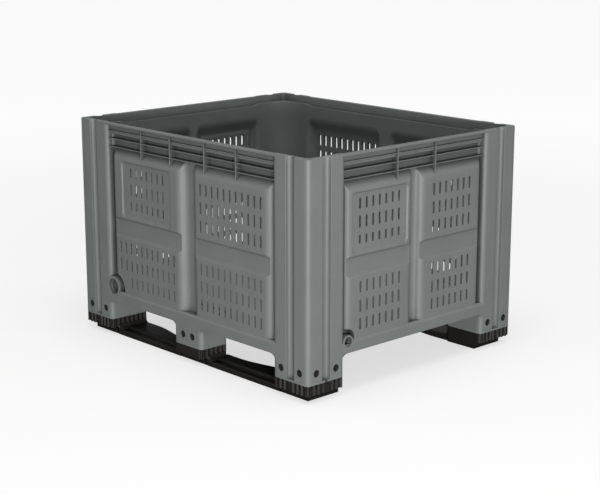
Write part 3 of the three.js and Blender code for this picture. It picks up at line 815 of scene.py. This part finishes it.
class Corner:
    """A corner column and its foot, in the corner's own frame."""

    def __init__(self, port: PortSizes) -> None:
        self.port = port
        self.tiles = tile_edges(*RUNNER.hole_places)
        self.breaks = np.concatenate([self.tiles, port.around(port.centre)])
        self.levels = np.concatenate([
            tile_edges(RUNNER.hole_level),
            port.around(port.level),
            [BOX.groove_foot - 0.5, BOX.groove_foot, BOX.groove_foot + 2],
            [BOX.ledge_inside - 1, BOX.ledge_inside],
        ])

    def face(self) -> list[Spot]:
        """Corners of the groove on one face, from the far edge to the near one."""
        return [
            (BOX.groove_end, 0.0, BOX.groove_edge),
            (BOX.groove_end - BOX.groove_draft, BOX.groove_depth, BOX.groove_bend),
            (BOX.groove_start + BOX.groove_draft, BOX.groove_depth, BOX.groove_bend),
            (BOX.groove_start, 0.0, BOX.groove_edge),
        ]

    def path(self, closed: bool) -> Array:
        """Plan path, from the far end of the first face round the corner to the second."""
        far = BOX.column
        ends = far if closed else BOX.wall_depth
        first = self.face()
        second = [(d, u, r) for u, d, r in reversed(first)]
        corners = [
            (far, ends, BOX.edge_radius if closed else 0.0),
            (far, 0.0, BOX.edge_radius),
            *first,
            (0.0, 0.0, BOX.edge_radius),
            *second,
            (0.0, far, BOX.edge_radius),
        ]
        if not closed:
            corners.append((ends, far, 0.0))
        made = rounded_path(corners, closed=closed)
        if closed:
            made = np.concatenate([made, made[:1]])
        made = refined(made, STEP.wall, self.breaks)
        return refined(made[:, ::-1], STEP.wall, self.tiles)[:, ::-1]

    def grid(self, surface: Surface, path: Array, z: Array) -> None:
        """Raises the path through the heights, with the groove ending above its foot."""
        u = np.broadcast_to(path[None, :, 0], (len(z), len(path))).copy()
        d = np.broadcast_to(path[None, :, 1], (len(z), len(path))).copy()
        share = smoothstep((z[:, None] - BOX.groove_foot + 0.6) / 1.2)
        low, high = BOX.groove_start - 3, BOX.groove_end + 3
        d = np.where((u > low) & (u < high) & (d <= BOX.groove_depth), d * share, d)
        u = np.where((d > low) & (d < high) & (u <= BOX.groove_depth), u * share, u)
        above = z[:, None] > BOX.ledge_inside - 0.5
        d, u = (
            np.where(above & (u > d), np.minimum(d, BOX.mouth - 0.5), d),
            np.where(above & (d > u), np.minimum(u, BOX.mouth - 0.5), u),
        )
        points = xyz(u, d, z[:, None])
        keep = beside_port(points, outside_tiles(points, RUNNER.hole_places), self.port)
        surface.grid(points, keep, flip=True)

    def build(self) -> Surface:
        """The whole corner: foot, column, its top and its holes."""
        surface = Surface()
        foot = lines(BOX.foot_bottom, BOX.floor_top - 2, STEP.foot, self.levels)
        self.grid(surface, self.path(True), foot)
        column = self.path(False)
        z = lines(BOX.floor_top - 2, BOX.height - BOX.top_edge, STEP.column, self.levels)
        self.grid(surface, column, z)
        self.top(surface, column)
        for hole in RUNNER.hole_places:
            tube = snap_hole(hole)
            surface.place(tube)
            for points, faces in zip(tube.points, tube.faces):
                surface.points.append(points[:, [1, 0, 2]])
                surface.faces.append(faces[:, ::-1] + surface.count)
                surface.count += len(points)
        return surface

    def top(self, surface: Surface, column: Array) -> None:
        """The flat top, with a rounded outer edge, in to the mouth of the box."""
        u, d = column[:, 0], column[:, 1]
        keep = (np.minimum(u, d) < BOX.mouth - 1) | (np.maximum(u, d) < BOX.mouth)
        u, d = u[keep], d[keep]
        centre = BOX.mouth + BOX.edge_radius
        inner_u = np.where(u < d, BOX.mouth, np.maximum(u, centre))
        inner_d = np.where(u < d, np.maximum(d, centre), BOX.mouth)
        corner = (u < BOX.edge_radius) & (d < BOX.edge_radius)
        inner_u = np.where(corner, u + BOX.mouth, inner_u)
        inner_d = np.where(corner, d + BOX.mouth, inner_d)
        size = np.maximum(np.hypot(inner_u - u, inner_d - d), 1e-6)
        bend = BOX.top_edge
        rows = []
        for inset, drop in ((0.0, bend), (0.3 * bend, 0.3 * bend), (bend, 0.0)):
            share = inset / size
            rows.append(xyz(u + (inner_u - u) * share, d + (inner_d - d) * share, BOX.height - drop))
        rows.append(xyz(inner_u, inner_d, BOX.height))
        surface.grid(np.stack(rows), flip=True)


def fork_fillet(side: float, way: float) -> Surface:
    """The fillet in an upper corner of a fork opening, round the rounded edge of a foot.

    Args:
        side: the foot's side plane.
        way: 1 where the opening lies to the right of the foot, -1 to the left.

    Returns:
        Its surface, cut off flush with the wall's face.
    """
    round_edge = np.linspace(0, math.pi / 2, 9)
    r = BOX.edge_radius
    across = np.concatenate([r * (np.sin(round_edge) - 1), [0.0]])
    deep = np.concatenate([r * (1 - np.cos(round_edge)), [BOX.inner_depth]])
    normal = np.stack([np.sin(round_edge), -np.cos(round_edge)], axis=-1)
    normal = np.concatenate([normal, normal[-1:]])
    angle = np.linspace(0, math.pi / 2, 9)[:, None]
    out = BOX.fork_fillet * (1 - np.cos(angle))
    u = side + way * (across + normal[:, 0] * out)
    d = np.maximum(deep + normal[:, 1] * out, 0.0)
    z = BOX.beam_bottom - BOX.fork_fillet * (1 - np.sin(angle))
    points = xyz(u, d, z)
    over_edge = points[-1:] + np.array([0.0, 0.0, 1.3])
    return Surface().grid(np.concatenate([points, over_edge]), flip=way < 0)


def beam(start: float, end: float, port: PortSizes | None) -> Surface:
    """The bottom beam between two feet, with the fillets in the fork opening's upper corners."""
    breaks = [near(place, STEP.wall, STEP.bend) for place in (start, end)]
    if port:
        breaks.append(port.around(port.centre))
    u = lines(start - BOX.edge_radius, end + BOX.edge_radius, STEP.foot, np.concatenate(breaks))
    low, bend = BOX.beam_bottom, BOX.beam_edge
    under = [(BOX.skin, low + BOX.skin + BOX.beam_hollow), (BOX.skin, low)]
    under += [(bend, low), (bend / 4, low + bend / 4), (0.0, low + bend)]
    rise = BOX.ledge_outer - 1.0 - low - bend
    face = [(0.0, low + bend + rise * share) for share in np.linspace(0.1, 1.0, 16)]
    section = np.array([*under, *face, *BOX.shoulder, (BOX.inner_depth, BOX.crest)])
    points = xyz(u, section[:, :1], section[:, 1:])
    keep = np.ones((len(section) - 1, len(u) - 1), bool)
    if port:
        keep = beside_port(points, keep, port)
    surface = Surface().grid(points, keep)
    surface.place(fork_fillet(start, 1.0))
    surface.place(fork_fillet(end, -1.0))
    for column, flip in ((0, True), (-1, False)):
        edge = points[3:, column]
        surface.grid(np.stack([edge, xyz(edge[:, 0], BOX.wall_depth, edge[:, 2])], axis=1), flip=flip)
    return surface


def foot_loop(start: float, end: float, depth: float) -> Array:
    """Plan loop of a foot between two places, closed by its first point repeated."""
    r = BOX.edge_radius
    corners = [(start, 0.0, r), (start, depth, r), (end, depth, r), (end, 0.0, r)]
    loop = rounded_path(corners, closed=True)
    return np.concatenate([loop, loop[:1]])


def middle_foot() -> Surface:
    """The middle foot on a long wall, up to the sloping top of the beam."""
    start = (BOX.length - BOX.middle_width) / 2
    loop = foot_loop(start, start + BOX.middle_width, BOX.middle_depth)
    path = refined(loop, STEP.wall, tile_edges(*RUNNER.middle_holes))
    z = lines(BOX.foot_bottom, BOX.ledge_outer, STEP.foot, tile_edges(RUNNER.hole_level))
    points = xyz(path[:, 0], path[:, 1], z[:, None])
    surface = Surface().grid(points, outside_tiles(points, RUNNER.middle_holes), flip=True)
    slope = np.array([*BOX.foot_shoulder, (BOX.middle_depth / 2, BOX.crest)])
    surface.grid(xyz(path[:, 0], np.maximum(path[:, 1], slope[:, :1]), slope[:, 1:]), flip=True)
    for hole in RUNNER.middle_holes:
        surface.place(snap_hole(hole))
    return surface


def swept(section: Array, start: float, end: float) -> Surface:
    """A section of depth and height carried along a wall."""
    return Surface().grid(xyz(np.array([start, end]), section[:, :1], section[:, 1:]))


def rib_section(depth: float, back: float, level: float) -> Array:
    """Section of a flat rib with a rounded outer edge, from its underside to its top."""
    low, high, edge = level - BOX.rib / 2, level + BOX.rib / 2, BOX.rib_edge
    return rounded_path([(back, low, 0.0), (depth, low, edge), (depth, high, edge), (back, high, 0.0)], facets=3)


def rim(wall: Wall) -> Surface:
    """The lip, the thin band below it and the ribs of one wall, between its columns."""
    length = wall.sizes.length
    start, end = BOX.column - BOX.rib_sink, length - BOX.column + BOX.rib_sink
    band, top, back = BOX.ledge_inside - BOX.skin, BOX.height - BOX.rim_drop, BOX.wall_depth + 1
    lip = rounded_path([
        (BOX.rim_depth, band, 0.0),
        (BOX.rim_depth, BOX.rim_lip, BOX.top_edge),
        (0.0, BOX.rim_lip, BOX.top_edge),
        (0.0, top, BOX.top_edge),
        (BOX.mouth, top, 0.0),
    ], facets=3)
    lip_start = BOX.column - BOX.edge_radius
    surface = swept(lip, lip_start, length - lip_start)
    surface.place(swept(np.array([(back, band), (BOX.rim_depth, band)]), start, end))
    surface.place(swept(rib_section(BOX.rib_depth, BOX.rim_depth + 1, BOX.rim_rib_level), start, end))
    for level in BOX.rib_levels:
        surface.place(swept(rib_section(BOX.rib_depth, back, level), start, end))
    slope = (BOX.wall_depth - BOX.panel_depth) / BOX.panel_slope
    foot = BOX.panel_top + (BOX.rib_depth - BOX.panel_depth) / slope
    z = np.array([[foot], [BOX.panel_top + BOX.panel_slope], [band], [band], [BOX.rim_lip + 2]])
    behind = np.array([[BOX.rib_depth], [BOX.wall_depth], [BOX.wall_depth], [BOX.rim_depth], [BOX.rim_depth]])
    for offset in wall.sizes.ribs:
        section = rib_section(BOX.rib_depth, back, length / 2 + offset)
        surface.grid(xyz(section[:, 1], np.minimum(section[:, 0], behind + BOX.rib_root), z))
    return surface


def port_body(port: PortSizes) -> Surface:
    """The ring of a drain port with its blind, stepped bore."""
    section = rounded_path([
        (port.ring, BOX.wall_depth + 1, 0.0),
        (port.ring, 0.0, 1.2),
        (port.bore, 0.0, 1.0),
        (port.bore, port.floor - port.bore_step, 1.0),
        (port.step, port.floor - port.bore_step, 1.0),
        (port.step, port.floor, 2.0),
        (0.01, port.floor, 0.0),
    ], facets=4)
    return revolved(section, port.centre, port.level)


def rounded_loop(inset: float, radius: float) -> Array:
    """Plan loop of the whole box, set in from its outer faces, in the front wall's frame."""
    far_u, far_d = BOX.length - inset, BOX.width - inset
    corners = [(u, d, radius) for u, d in ((inset, inset), (far_u, inset), (far_u, far_d), (inset, far_d))]
    return rounded_path(corners, closed=True, facets=14)


def at_height(loop: Array, z: Array | float) -> Array:
    """A plan loop as points at one height, or at a height for each point."""
    return xyz(loop[:, 0], loop[:, 1], z)


def interior() -> Surface:
    """Rounded corners of the load space, the inner ledge, the mouth and the floor."""
    surface = Surface()
    inner = rounded_loop(BOX.inner_depth, BOX.inside_radius)
    mouth = rounded_loop(BOX.mouth, BOX.edge_radius)
    for arc in np.split(inner, 4):
        surface.grid(np.stack([at_height(arc, BOX.floor_top), at_height(arc, BOX.ledge_inside)]), flip=True)
    marks = np.array([BOX.column, *(BOX.step_start + BOX.step_length * share for share in (0, 0.5, 1))])
    loops = []
    for loop in (inner, mouth):
        loop = refined(np.concatenate([loop, loop[:1]]), 1e4, np.concatenate([marks, BOX.length - marks]))
        loops.append(refined(loop[:, ::-1], 1e4, np.concatenate([marks, BOX.width - marks]))[:, ::-1])
    along = np.minimum(loops[0], np.array([BOX.length, BOX.width]) - loops[0]).max(axis=1)
    rise = BOX.ledge_step * (1 - smoothstep((along - BOX.step_start) / BOX.step_length))
    ledge = BOX.ledge_inside + rise
    top = BOX.height - BOX.rim_drop * (along > BOX.column + 0.5)
    surface.grid(np.stack([
        at_height(loops[0], BOX.ledge_inside),
        at_height(loops[0], ledge + 0.01),
        at_height(loops[1], ledge),
        at_height(loops[1], top),
    ]), flip=True)
    centre = np.full_like(inner, 0.5) * (BOX.length, BOX.width)
    surface.grid(np.stack([at_height(inner, BOX.floor_top), at_height(centre, BOX.floor_top)]), closed=True)
    return surface


def sill(wall: WallSizes) -> Surface:
    """Closes the gap between the floor's edge and the foot of a wall's panels.

    Args:
        wall: the wall's sizes; the strip leaves its drain port open.

    Returns:
        A flat strip just under the floor's face.
    """
    surface = Surface()
    ends = (wall.port.centre + wall.port.bore, wall.length - BOX.column)
    surface.sheet(ends, (BOX.groove_depth + BOX.skin, BOX.inner_depth + 2), BOX.floor_top - 1)
    return surface


def underside() -> Surface:
    """The floor plate from below, with the ribs that stiffen it."""
    surface = Surface()
    inset, low, top = BOX.wall_depth - 1, BOX.beam_bottom, BOX.floor_top - BOX.floor_plate
    half = BOX.floor_rib / 2
    far_u, far_d = BOX.length - inset, BOX.width - inset
    surface.sheet((inset, far_u), (inset, far_d), top, flip=True)
    first = BOX.column + half
    for u in np.linspace(first, BOX.length - first, BOX.floor_ribs[0]):
        surface.block((u - half, inset, low), (u + half, far_d, top))
    for d in np.linspace(first, BOX.width - first, BOX.floor_ribs[1]):
        surface.block((inset, d - half, low), (far_u, d + half, top))
    return surface


class Runner:
    """One runner: three shoes, two strips, scoops and snap buttons."""

    def fluted(self, path: Array, plain: Array) -> Array:
        """Cuts upright flutes into a closed path.

        Args:
            path: the path's points, closed by its first point repeated.
            plain: which points stay as they are.

        Returns:
            The path with its fluted points moved inwards.
        """
        step = np.linalg.norm(np.diff(path, axis=0), axis=1)
        along = np.concatenate([[0.0], np.cumsum(step)])
        fine = np.arange(0.0, along[-1], RUNNER.flute_pitch / 12)
        u = np.interp(fine, along, path[:, 0])
        d = np.interp(fine, along, path[:, 1])
        flat = np.interp(fine, along, plain.astype(float))
        tangent = np.stack([np.gradient(u), np.gradient(d)], axis=-1)
        tangent /= np.linalg.norm(tangent, axis=-1, keepdims=True)
        wave = 0.5 + 0.5 * np.cos(2 * math.pi * fine / RUNNER.flute_pitch)
        cut = RUNNER.flute_depth * smoothstep(wave * 1.5) * (1 - flat)
        inward = np.stack([tangent[:, 1], -tangent[:, 0]], axis=-1)
        return np.stack([u, d], axis=-1) + inward * cut[:, None]

    def shoe(self, start: float, end: float, depth: float, base: tuple[float, float], middle: bool) -> Surface:
        """A fluted skirt on a narrower base.

        Args:
            start: the shoe's left side.
            end: its right side.
            depth: how deep it is.
            base: the base's left and right sides.
            middle: whether it is the middle shoe, whose outer face is plain.

        Returns:
            Its surface.
        """
        loop = refined(foot_loop(start, end, depth), STEP.shoe, np.array([0.0]))
        plain = loop[:, 1] > depth - BOX.edge_radius
        across = np.abs(loop[:, 0] - (BOX.length if start > BOX.length / 2 else 0.0))
        for face, along in ((loop[:, 1], across), (across, loop[:, 1])):
            in_groove = (along > BOX.groove_start + RUNNER.skirt_plain) & (along < BOX.groove_end - RUNNER.skirt_plain)
            plain |= (face < 1) & in_groove
        if middle:
            plain |= loop[:, 1] < 2.0
        path = self.fluted(loop, plain)
        low = np.stack([np.clip(path[:, 0], *base), np.maximum(path[:, 1], RUNNER.base_inset)], axis=-1)
        centre = (low.min(0) + low.max(0)) / 2
        inset = low + np.clip(centre - low, -RUNNER.base_edge, RUNNER.base_edge)
        top = path + np.clip(centre - path, -RUNNER.skirt_rim, RUNNER.skirt_rim)
        bottom = np.repeat(centre[None], len(path), 0)
        high, skirt = RUNNER.top, RUNNER.skirt_bottom
        surface = Surface()
        for rows in (
            ((path, high), (path, skirt + 1), (path, skirt), (low, skirt), (low, RUNNER.base_edge), (inset, 0.0)),
            ((top, high - RUNNER.skirt_hollow), (top, high), (path, high)),
            ((inset, 0.0), (bottom, 0.0)),
        ):
            surface.grid(np.stack([at_height(loop, z) for loop, z in rows]), closed=True)
        return surface

    def strip(self, start: float, end: float) -> Surface:
        """The strip from a corner shoe at start to the middle shoe at end."""
        top, (crest, back) = RUNNER.strip_inner, RUNNER.strip_crest
        corners = [(RUNNER.base_inset, 0.0, 0.0), *RUNNER.strip_profile, (crest, top, 4.0), (back, top, 0.0)]
        section = rounded_path(corners, facets=5)
        u = np.linspace(start, end, 41)
        share = smoothstep(np.abs(u - start) / abs(end - start) * 1.6 - 0.3)
        inner = RUNNER.strip_wide + (RUNNER.strip_narrow - RUNNER.strip_wide) * share
        edge = RUNNER.strip_edge
        outer = xyz(u, section[:-1, :1], section[:-1, 1:])
        drop = np.array([[0.0], [0.3 * edge], [edge], [top]])
        points = np.concatenate([outer, xyz(u, inner - [[edge], [0.3 * edge], [0.0], [0.0]], top - drop)])
        flip = end < start
        return Surface().grid(points, flip=flip).grid(np.stack([points[-1], points[0]]), flip=flip)

    def scoop(self, side: float, facing: float, inner: float) -> Surface:
        """A concave ramp from the strip up a shoe's side.

        Args:
            side: the shoe's side plane.
            facing: 1 where the ramp opens along the wall, -1 the other way.
            inner: the ramp's inner end.

        Returns:
            Its surface.
        """
        front = RUNNER.scoop_front
        d = np.concatenate([front + RUNNER.scoop_round * (1 - np.cos(np.linspace(0, math.pi / 2, 9))), [inner]])
        rise = np.clip((d - front) / RUNNER.scoop_round, 0, 1)
        reach = RUNNER.scoop_radius * np.sqrt(1 - (1 - rise) ** 2)
        angle = np.linspace(0, math.pi / 2, 12)
        across = (1 - np.cos(angle))[:, None] * reach[None, :]
        low = RUNNER.scoop_top - RUNNER.scoop_radius
        z = RUNNER.scoop_top - RUNNER.scoop_radius * np.sin(angle)
        u = side + facing * across
        foot = xyz(u[-1:], d, low - RUNNER.scoop_foot)
        return Surface().grid(np.concatenate([xyz(u, d, z[:, None]), foot]), flip=facing > 0)

    def button(self, place: float) -> Surface:
        """A snap button in its hole, with the plate that carries it."""
        r = RUNNER.hole_radius - RUNNER.button_gap
        face = RUNNER.button_recess
        dish = face + RUNNER.button_dish
        corners = [(r, 9.0, 0.0), (r, face, 0.8), (r - 3.5, face, 0.5), (r - 4.0, dish, 0.4), (0.01, dish, 0.0)]
        section = rounded_path(corners, facets=3)
        surface = revolved(section, place, RUNNER.hole_level, 32)
        low, high = zip(RUNNER.plate_depths, RUNNER.plate_levels)
        surface.block((place - RUNNER.plate_half, *low), (place + RUNNER.plate_half, *high))
        return surface

    def build(self) -> Surface:
        """The whole runner in the front wall's frame."""
        surface = Surface()
        column, length, inset = BOX.column, BOX.length, RUNNER.base_inset
        left = (length - BOX.middle_width) / 2
        right = length - left
        parts = [
            self.shoe(0.0, column, column, (inset, column), False),
            self.shoe(length - column, length, column, (length - column, length - inset), False),
            self.shoe(left, right, BOX.middle_depth, (left, right), True),
            self.strip(column, left),
            self.strip(length - column, right),
            self.scoop(column, 1.0, RUNNER.strip_wide),
            self.scoop(left, -1.0, RUNNER.strip_narrow - RUNNER.scoop_back),
            self.scoop(right, 1.0, RUNNER.strip_narrow - RUNNER.scoop_back),
            self.scoop(length - column, -1.0, RUNNER.strip_wide),
        ]
        places = [*RUNNER.hole_places, *RUNNER.middle_holes, *(length - p for p in RUNNER.hole_places)]
        parts += [self.button(place) for place in places]
        for part in parts:
            surface.place(part)
        for place in RUNNER.hole_places:
            surface.place(self.button(place), Placement(1, length, 0.0))
            surface.place(self.button(-place), Placement(3, 0.0, 0.0))
        return surface


class Nodes:
    """Fills the node tree of a material or a world."""

    def __init__(self, owner: bpy.types.Material | bpy.types.World) -> None:
        owner.use_nodes = True
        self.tree = owner.node_tree

    def own(self, name: str, values: dict[str, object]) -> bpy.types.Node:
        """Sets socket values of a node that is there from the start."""
        node = self.tree.nodes[name]
        for socket, value in values.items():
            node.inputs[socket].default_value = value
        return node

    def add(self, kind: str, values: dict[str, object] | None = None) -> bpy.types.Node:
        """Adds a shader node with the given socket values."""
        node = self.tree.nodes.new(f"ShaderNode{kind}")
        return self.own(node.name, values or {})

    def link(self, source: bpy.types.Node, output: str, target: bpy.types.Node, socket: str | int) -> None:
        """Links one node's output to a socket of another."""
        self.tree.links.new(source.outputs[output], target.inputs[socket])


class PlasticMaterial:
    """Makes the node material of a plastic finish."""

    mottle_scale, sheen_scale, wave_scale, grain_scale = 9.0, 40.0, 14.0, 700.0
    bump_strength = 0.6

    def __init__(self, finish: Finish) -> None:
        self.finish = finish
        self.material = bpy.data.materials.new(finish.name)
        self.nodes = Nodes(self.material)
        self.place = self.nodes.add("TexCoord")

    def made(self) -> bpy.types.Material:
        """Builds the material.

        Returns:
            The material, with noise on object coordinates for mottle, sheen and grain.
        """
        finish, nodes = self.finish, self.nodes
        shader = nodes.own("Principled BSDF", {"Specular IOR Level": finish.specular})
        ramp = nodes.add("ValToRGB")
        for element, position, way in zip(ramp.color_ramp.elements, (0.3, 0.7), (-1, 1)):
            element.position = position
            element.color = (*(c * (1 + way * finish.mottle) for c in finish.colour), 1)
        nodes.link(self.noise(self.mottle_scale, 3.0), "Fac", ramp, "Fac")
        # The base colour carries painted shade in gaps and hollows.
        nodes.link(self.with_painted_shade(ramp), "Vector", shader, "Base Color")
        spread = nodes.add("MapRange", {
            "To Min": finish.roughness - finish.roughness_spread,
            "To Max": finish.roughness + finish.roughness_spread,
        })
        nodes.link(self.noise(self.sheen_scale, 4.0), "Fac", spread, "Value")
        nodes.link(spread, "Result", shader, "Roughness")
        wave = self.bump(self.wave_scale, finish.wave)
        grain = self.bump(self.grain_scale, finish.grain)
        nodes.link(wave, "Normal", grain, "Normal")
        nodes.link(grain, "Normal", shader, "Normal")
        return self.material

    def with_painted_shade(self, colour: bpy.types.Node) -> bpy.types.Node:
        """The colour with painted shade: ambient occlusion darkens it in narrow gaps and hollows."""
        # Painted shade: ambient occlusion scales the base colour down in gaps, slots and under ribs, to a fifth at
        # most.
        near_by = self.nodes.add("AmbientOcclusion", {"Distance": self.finish.gap})
        near_by.samples = 6
        level = self.nodes.add("MapRange", {"From Min": 0.15, "From Max": 0.85, "To Min": 0.2})
        self.nodes.link(near_by, "AO", level, "Value")
        shade_painted_colour = self.nodes.add("VectorMath")
        shade_painted_colour.operation = "SCALE"
        self.nodes.link(colour, "Color", shade_painted_colour, 0)
        self.nodes.link(level, "Result", shade_painted_colour, "Scale")
        return shade_painted_colour

    def noise(self, scale: float, detail: float) -> bpy.types.Node:
        """A noise texture on object coordinates."""
        node = self.nodes.add("TexNoise", {"Scale": scale, "Detail": detail})
        self.nodes.link(self.place, "Object", node, "Vector")
        return node

    def bump(self, scale: float, height: float) -> bpy.types.Node:
        """A bump of noise, with its height in metres."""
        node = self.nodes.add("Bump", {"Strength": self.bump_strength, "Distance": height})
        self.nodes.link(self.noise(scale, 2.0), "Fac", node, "Height")
        return node


class PalletBox:
    """Builds every piece of the object."""

    def __init__(self, materials: dict[str, bpy.types.Material]) -> None:
        self.materials = materials
        self.walls = {sizes.name: Wall(sizes) for sizes in (LONG_WALL, SHORT_WALL)}

    def piece(
        self, name: str, placement: Placement, *parts: Surface, finish: Finishes = Finishes.GREY
    ) -> bpy.types.Object:
        """Makes one piece from parts that are drawn in the same frame.

        Args:
            name: the piece's name.
            placement: where the parts' frame lies.
            *parts: the surfaces.
            finish: the plastic.

        Returns:
            The piece.
        """
        surface = Surface()
        for part in parts:
            surface.place(part, placement)
        return surface.made_object(name, finish.value, self.materials)

    def beams(self, wall: Wall) -> list[Surface]:
        """A wall's bottom beams, with the middle foot of a long wall."""
        port, end = wall.sizes.port, wall.sizes.length - BOX.column
        if wall.sizes is SHORT_WALL:
            return [beam(BOX.column, end, port)]
        middle, half = wall.sizes.length / 2, BOX.middle_width / 2
        return [beam(BOX.column, middle - half, port), beam(middle + half, end, None), middle_foot()]

    def build_walls(self) -> None:
        """The skins, slots, rims, beams and ports of the four walls."""
        for name, sizes, placement in SIDES:
            wall = self.walls[sizes.name]
            outer = wall.skin(0.0, BOX.crest - 1, BOX.ledge_inside)
            shown = self.piece(f"wall_{name}_outer", placement, outer)
            if name == "front":
                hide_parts("box_body")
            self.piece(f"wall_{name}_inner", placement, wall.skin(BOX.skin, BOX.floor_top, BOX.ledge_inside))
            trim = [wall.slot_tubes(), rim(wall), port_body(sizes.port), sill(sizes), *self.beams(wall)]
            self.piece(f"wall_{name}_trim", placement, *trim)

    def build_corners(self) -> None:
        """The four corner columns with their feet."""
        for name, sizes, placement in SIDES:
            self.piece(f"column_{name}", placement, Corner(sizes.port).build())

    def build_runners(self) -> None:
        """The two black runners."""
        for name, placement in (("runner_front", FRONT), ("runner_rear", REAR)):
            shown = self.piece(f"{name}_shown", placement, Runner().build(), finish=Finishes.BLACK)
            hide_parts(name)

    def build(self) -> None:
        """Builds all of it."""
        self.build_walls()
        self.build_corners()
        self.piece("inside", FRONT, interior(), underside())
        self.build_runners()


@dataclass(frozen=True)
class CameraSizes:
    """The camera that matches the photograph, in metres and degrees."""

    place: tuple[float, float, float] = (3.7723, -3.4977, 1.5699)
    yaw: float = 136.933
    pitch: float = 13.586
    lens: float = 87.78
    sensor: float = 36.0


@dataclass(frozen=True)
class AreaLight:
    """A soft light aimed at the middle of the box."""

    name: str
    place: tuple[float, float, float]
    width: float
    height: float
    power: float


@dataclass(frozen=True)
class StudioSizes:
    """Floor and surround: sizes in metres, colours linear, strengths as Blender's."""

    floor_half: float = 30.0
    floor_drop: float = 0.0005
    floor_colour: tuple[float, ...] = (0.35, 0.35, 0.348, 1.0)
    floor_roughness: float = 0.9
    floor_bounce: tuple[float, ...] = (0.16, 0.16, 0.16, 1.0)
    glow_reach: tuple[float, float] = (0.5, 6.0)
    glow: tuple[float, float] = (0.66, 0.82)
    sky_light: float = 0.37
    sky_shown: float = 0.93
    aim: Spot = (0.0, 0.0, 0.4)


class Studio:
    """Camera, floor and lights."""

    sizes = StudioSizes()
    lights = (
        AreaLight("key", (5.5, -4.37, 0.62), 2.8, 1.0, 470.0),
        AreaLight("top", (0.9, -0.6, 4.5), 3.5, 3.5, 95.0),
    )

    @staticmethod
    def put(name: str, data: bpy.types.ID, place: Spot, forward: Vector | None = None) -> bpy.types.Object:
        """Adds an object to the scene.

        Args:
            name: its name.
            data: its mesh, camera or light.
            place: where it stands, in metres.
            forward: the way it looks, or None if it isn't turned.

        Returns:
            The object.
        """
        made = bpy.data.objects.new(name, data)
        made.location = place
        if forward is not None:
            made.rotation_euler = forward.to_track_quat("-Z", "Y").to_euler()
        bpy.context.scene.collection.objects.link(made)
        return made

    def build_camera(self) -> None:
        """Puts the camera where the photograph was taken from."""
        sizes = CameraSizes()
        data = bpy.data.cameras.new("camera")
        data.lens = sizes.lens
        data.sensor_width = sizes.sensor
        data.clip_end = 2 * self.sizes.floor_half
        yaw, pitch = math.radians(sizes.yaw), math.radians(sizes.pitch)
        forward = Vector((math.cos(pitch) * math.cos(yaw), math.cos(pitch) * math.sin(yaw), -math.sin(pitch)))
        bpy.context.scene.camera = self.put("camera", data, sizes.place, forward)

    def build_floor(self) -> None:
        """A wide pale floor, near white to the camera and dimmer as a source of light."""
        sizes = self.sizes
        mesh = bpy.data.meshes.new("floor")
        corners = [(x * sizes.floor_half, y * sizes.floor_half, 0) for x, y in ((-1, -1), (1, -1), (1, 1), (-1, 1))]
        mesh.from_pydata(corners, [], [(0, 1, 2, 3)])
        material = bpy.data.materials.new("pale_floor")
        nodes = Nodes(material)
        pale = nodes.own("Principled BSDF", {
            "Base Color": sizes.floor_colour,
            "Roughness": sizes.floor_roughness,
            "Specular IOR Level": 0.0,
            "Emission Color": (1, 1, 1, 1),
        })
        away = nodes.add("VectorMath")
        away.operation = "LENGTH"
        (near_by, far), (weak, strong) = sizes.glow_reach, sizes.glow
        glow = nodes.add("MapRange", {"From Min": near_by, "From Max": far, "To Min": weak, "To Max": strong})
        glow.interpolation_type = "SMOOTHSTEP"
        nodes.link(nodes.add("TexCoord"), "Object", away, 0)
        nodes.link(away, "Value", glow, "Value")
        nodes.link(glow, "Result", pale, "Emission Strength")
        mix = nodes.add("MixShader")
        nodes.link(nodes.add("LightPath"), "Is Camera Ray", mix, "Fac")
        nodes.link(nodes.add("BsdfDiffuse", {"Color": sizes.floor_bounce}), "BSDF", mix, 1)
        nodes.link(pale, "BSDF", mix, 2)
        nodes.link(mix, "Shader", nodes.own("Material Output", {}), "Surface")
        mesh.materials.append(material)
        self.put("floor", mesh, (0, 0, -sizes.floor_drop))

    def build_lights(self) -> None:
        """Soft lights and an even pale surround."""
        world = bpy.data.worlds.new("surround")
        bpy.context.scene.world = world
        nodes = Nodes(world)
        background = nodes.own("Background", {"Color": (1, 1, 1, 1)})
        strength = nodes.add("MapRange", {"To Min": self.sizes.sky_light, "To Max": self.sizes.sky_shown})
        nodes.link(nodes.add("LightPath"), "Is Camera Ray", strength, "Value")
        nodes.link(strength, "Result", background, "Strength")
        for light in self.lights:
            data = bpy.data.lights.new(light.name, "AREA")
            data.shape = "ELLIPSE"
            data.size = light.width
            data.size_y = light.height
            data.energy = light.power
            self.put(light.name, data, light.place, Vector(self.sizes.aim) - Vector(light.place))

    def build(self) -> None:
        """Builds the studio."""
        bpy.context.scene.view_settings.view_transform = "Standard"
        self.build_camera()
        self.build_floor()
        self.build_lights()


def main() -> None:
    """Builds the object and its studio."""
    logging.basicConfig(level=logging.INFO, format="%(name)s: %(message)s")
    materials = {f.value.name: PlasticMaterial(f.value).made() for f in Finishes}
    PalletBox(materials).build()
    Studio().build()


if __name__ == "__main__":
    main()
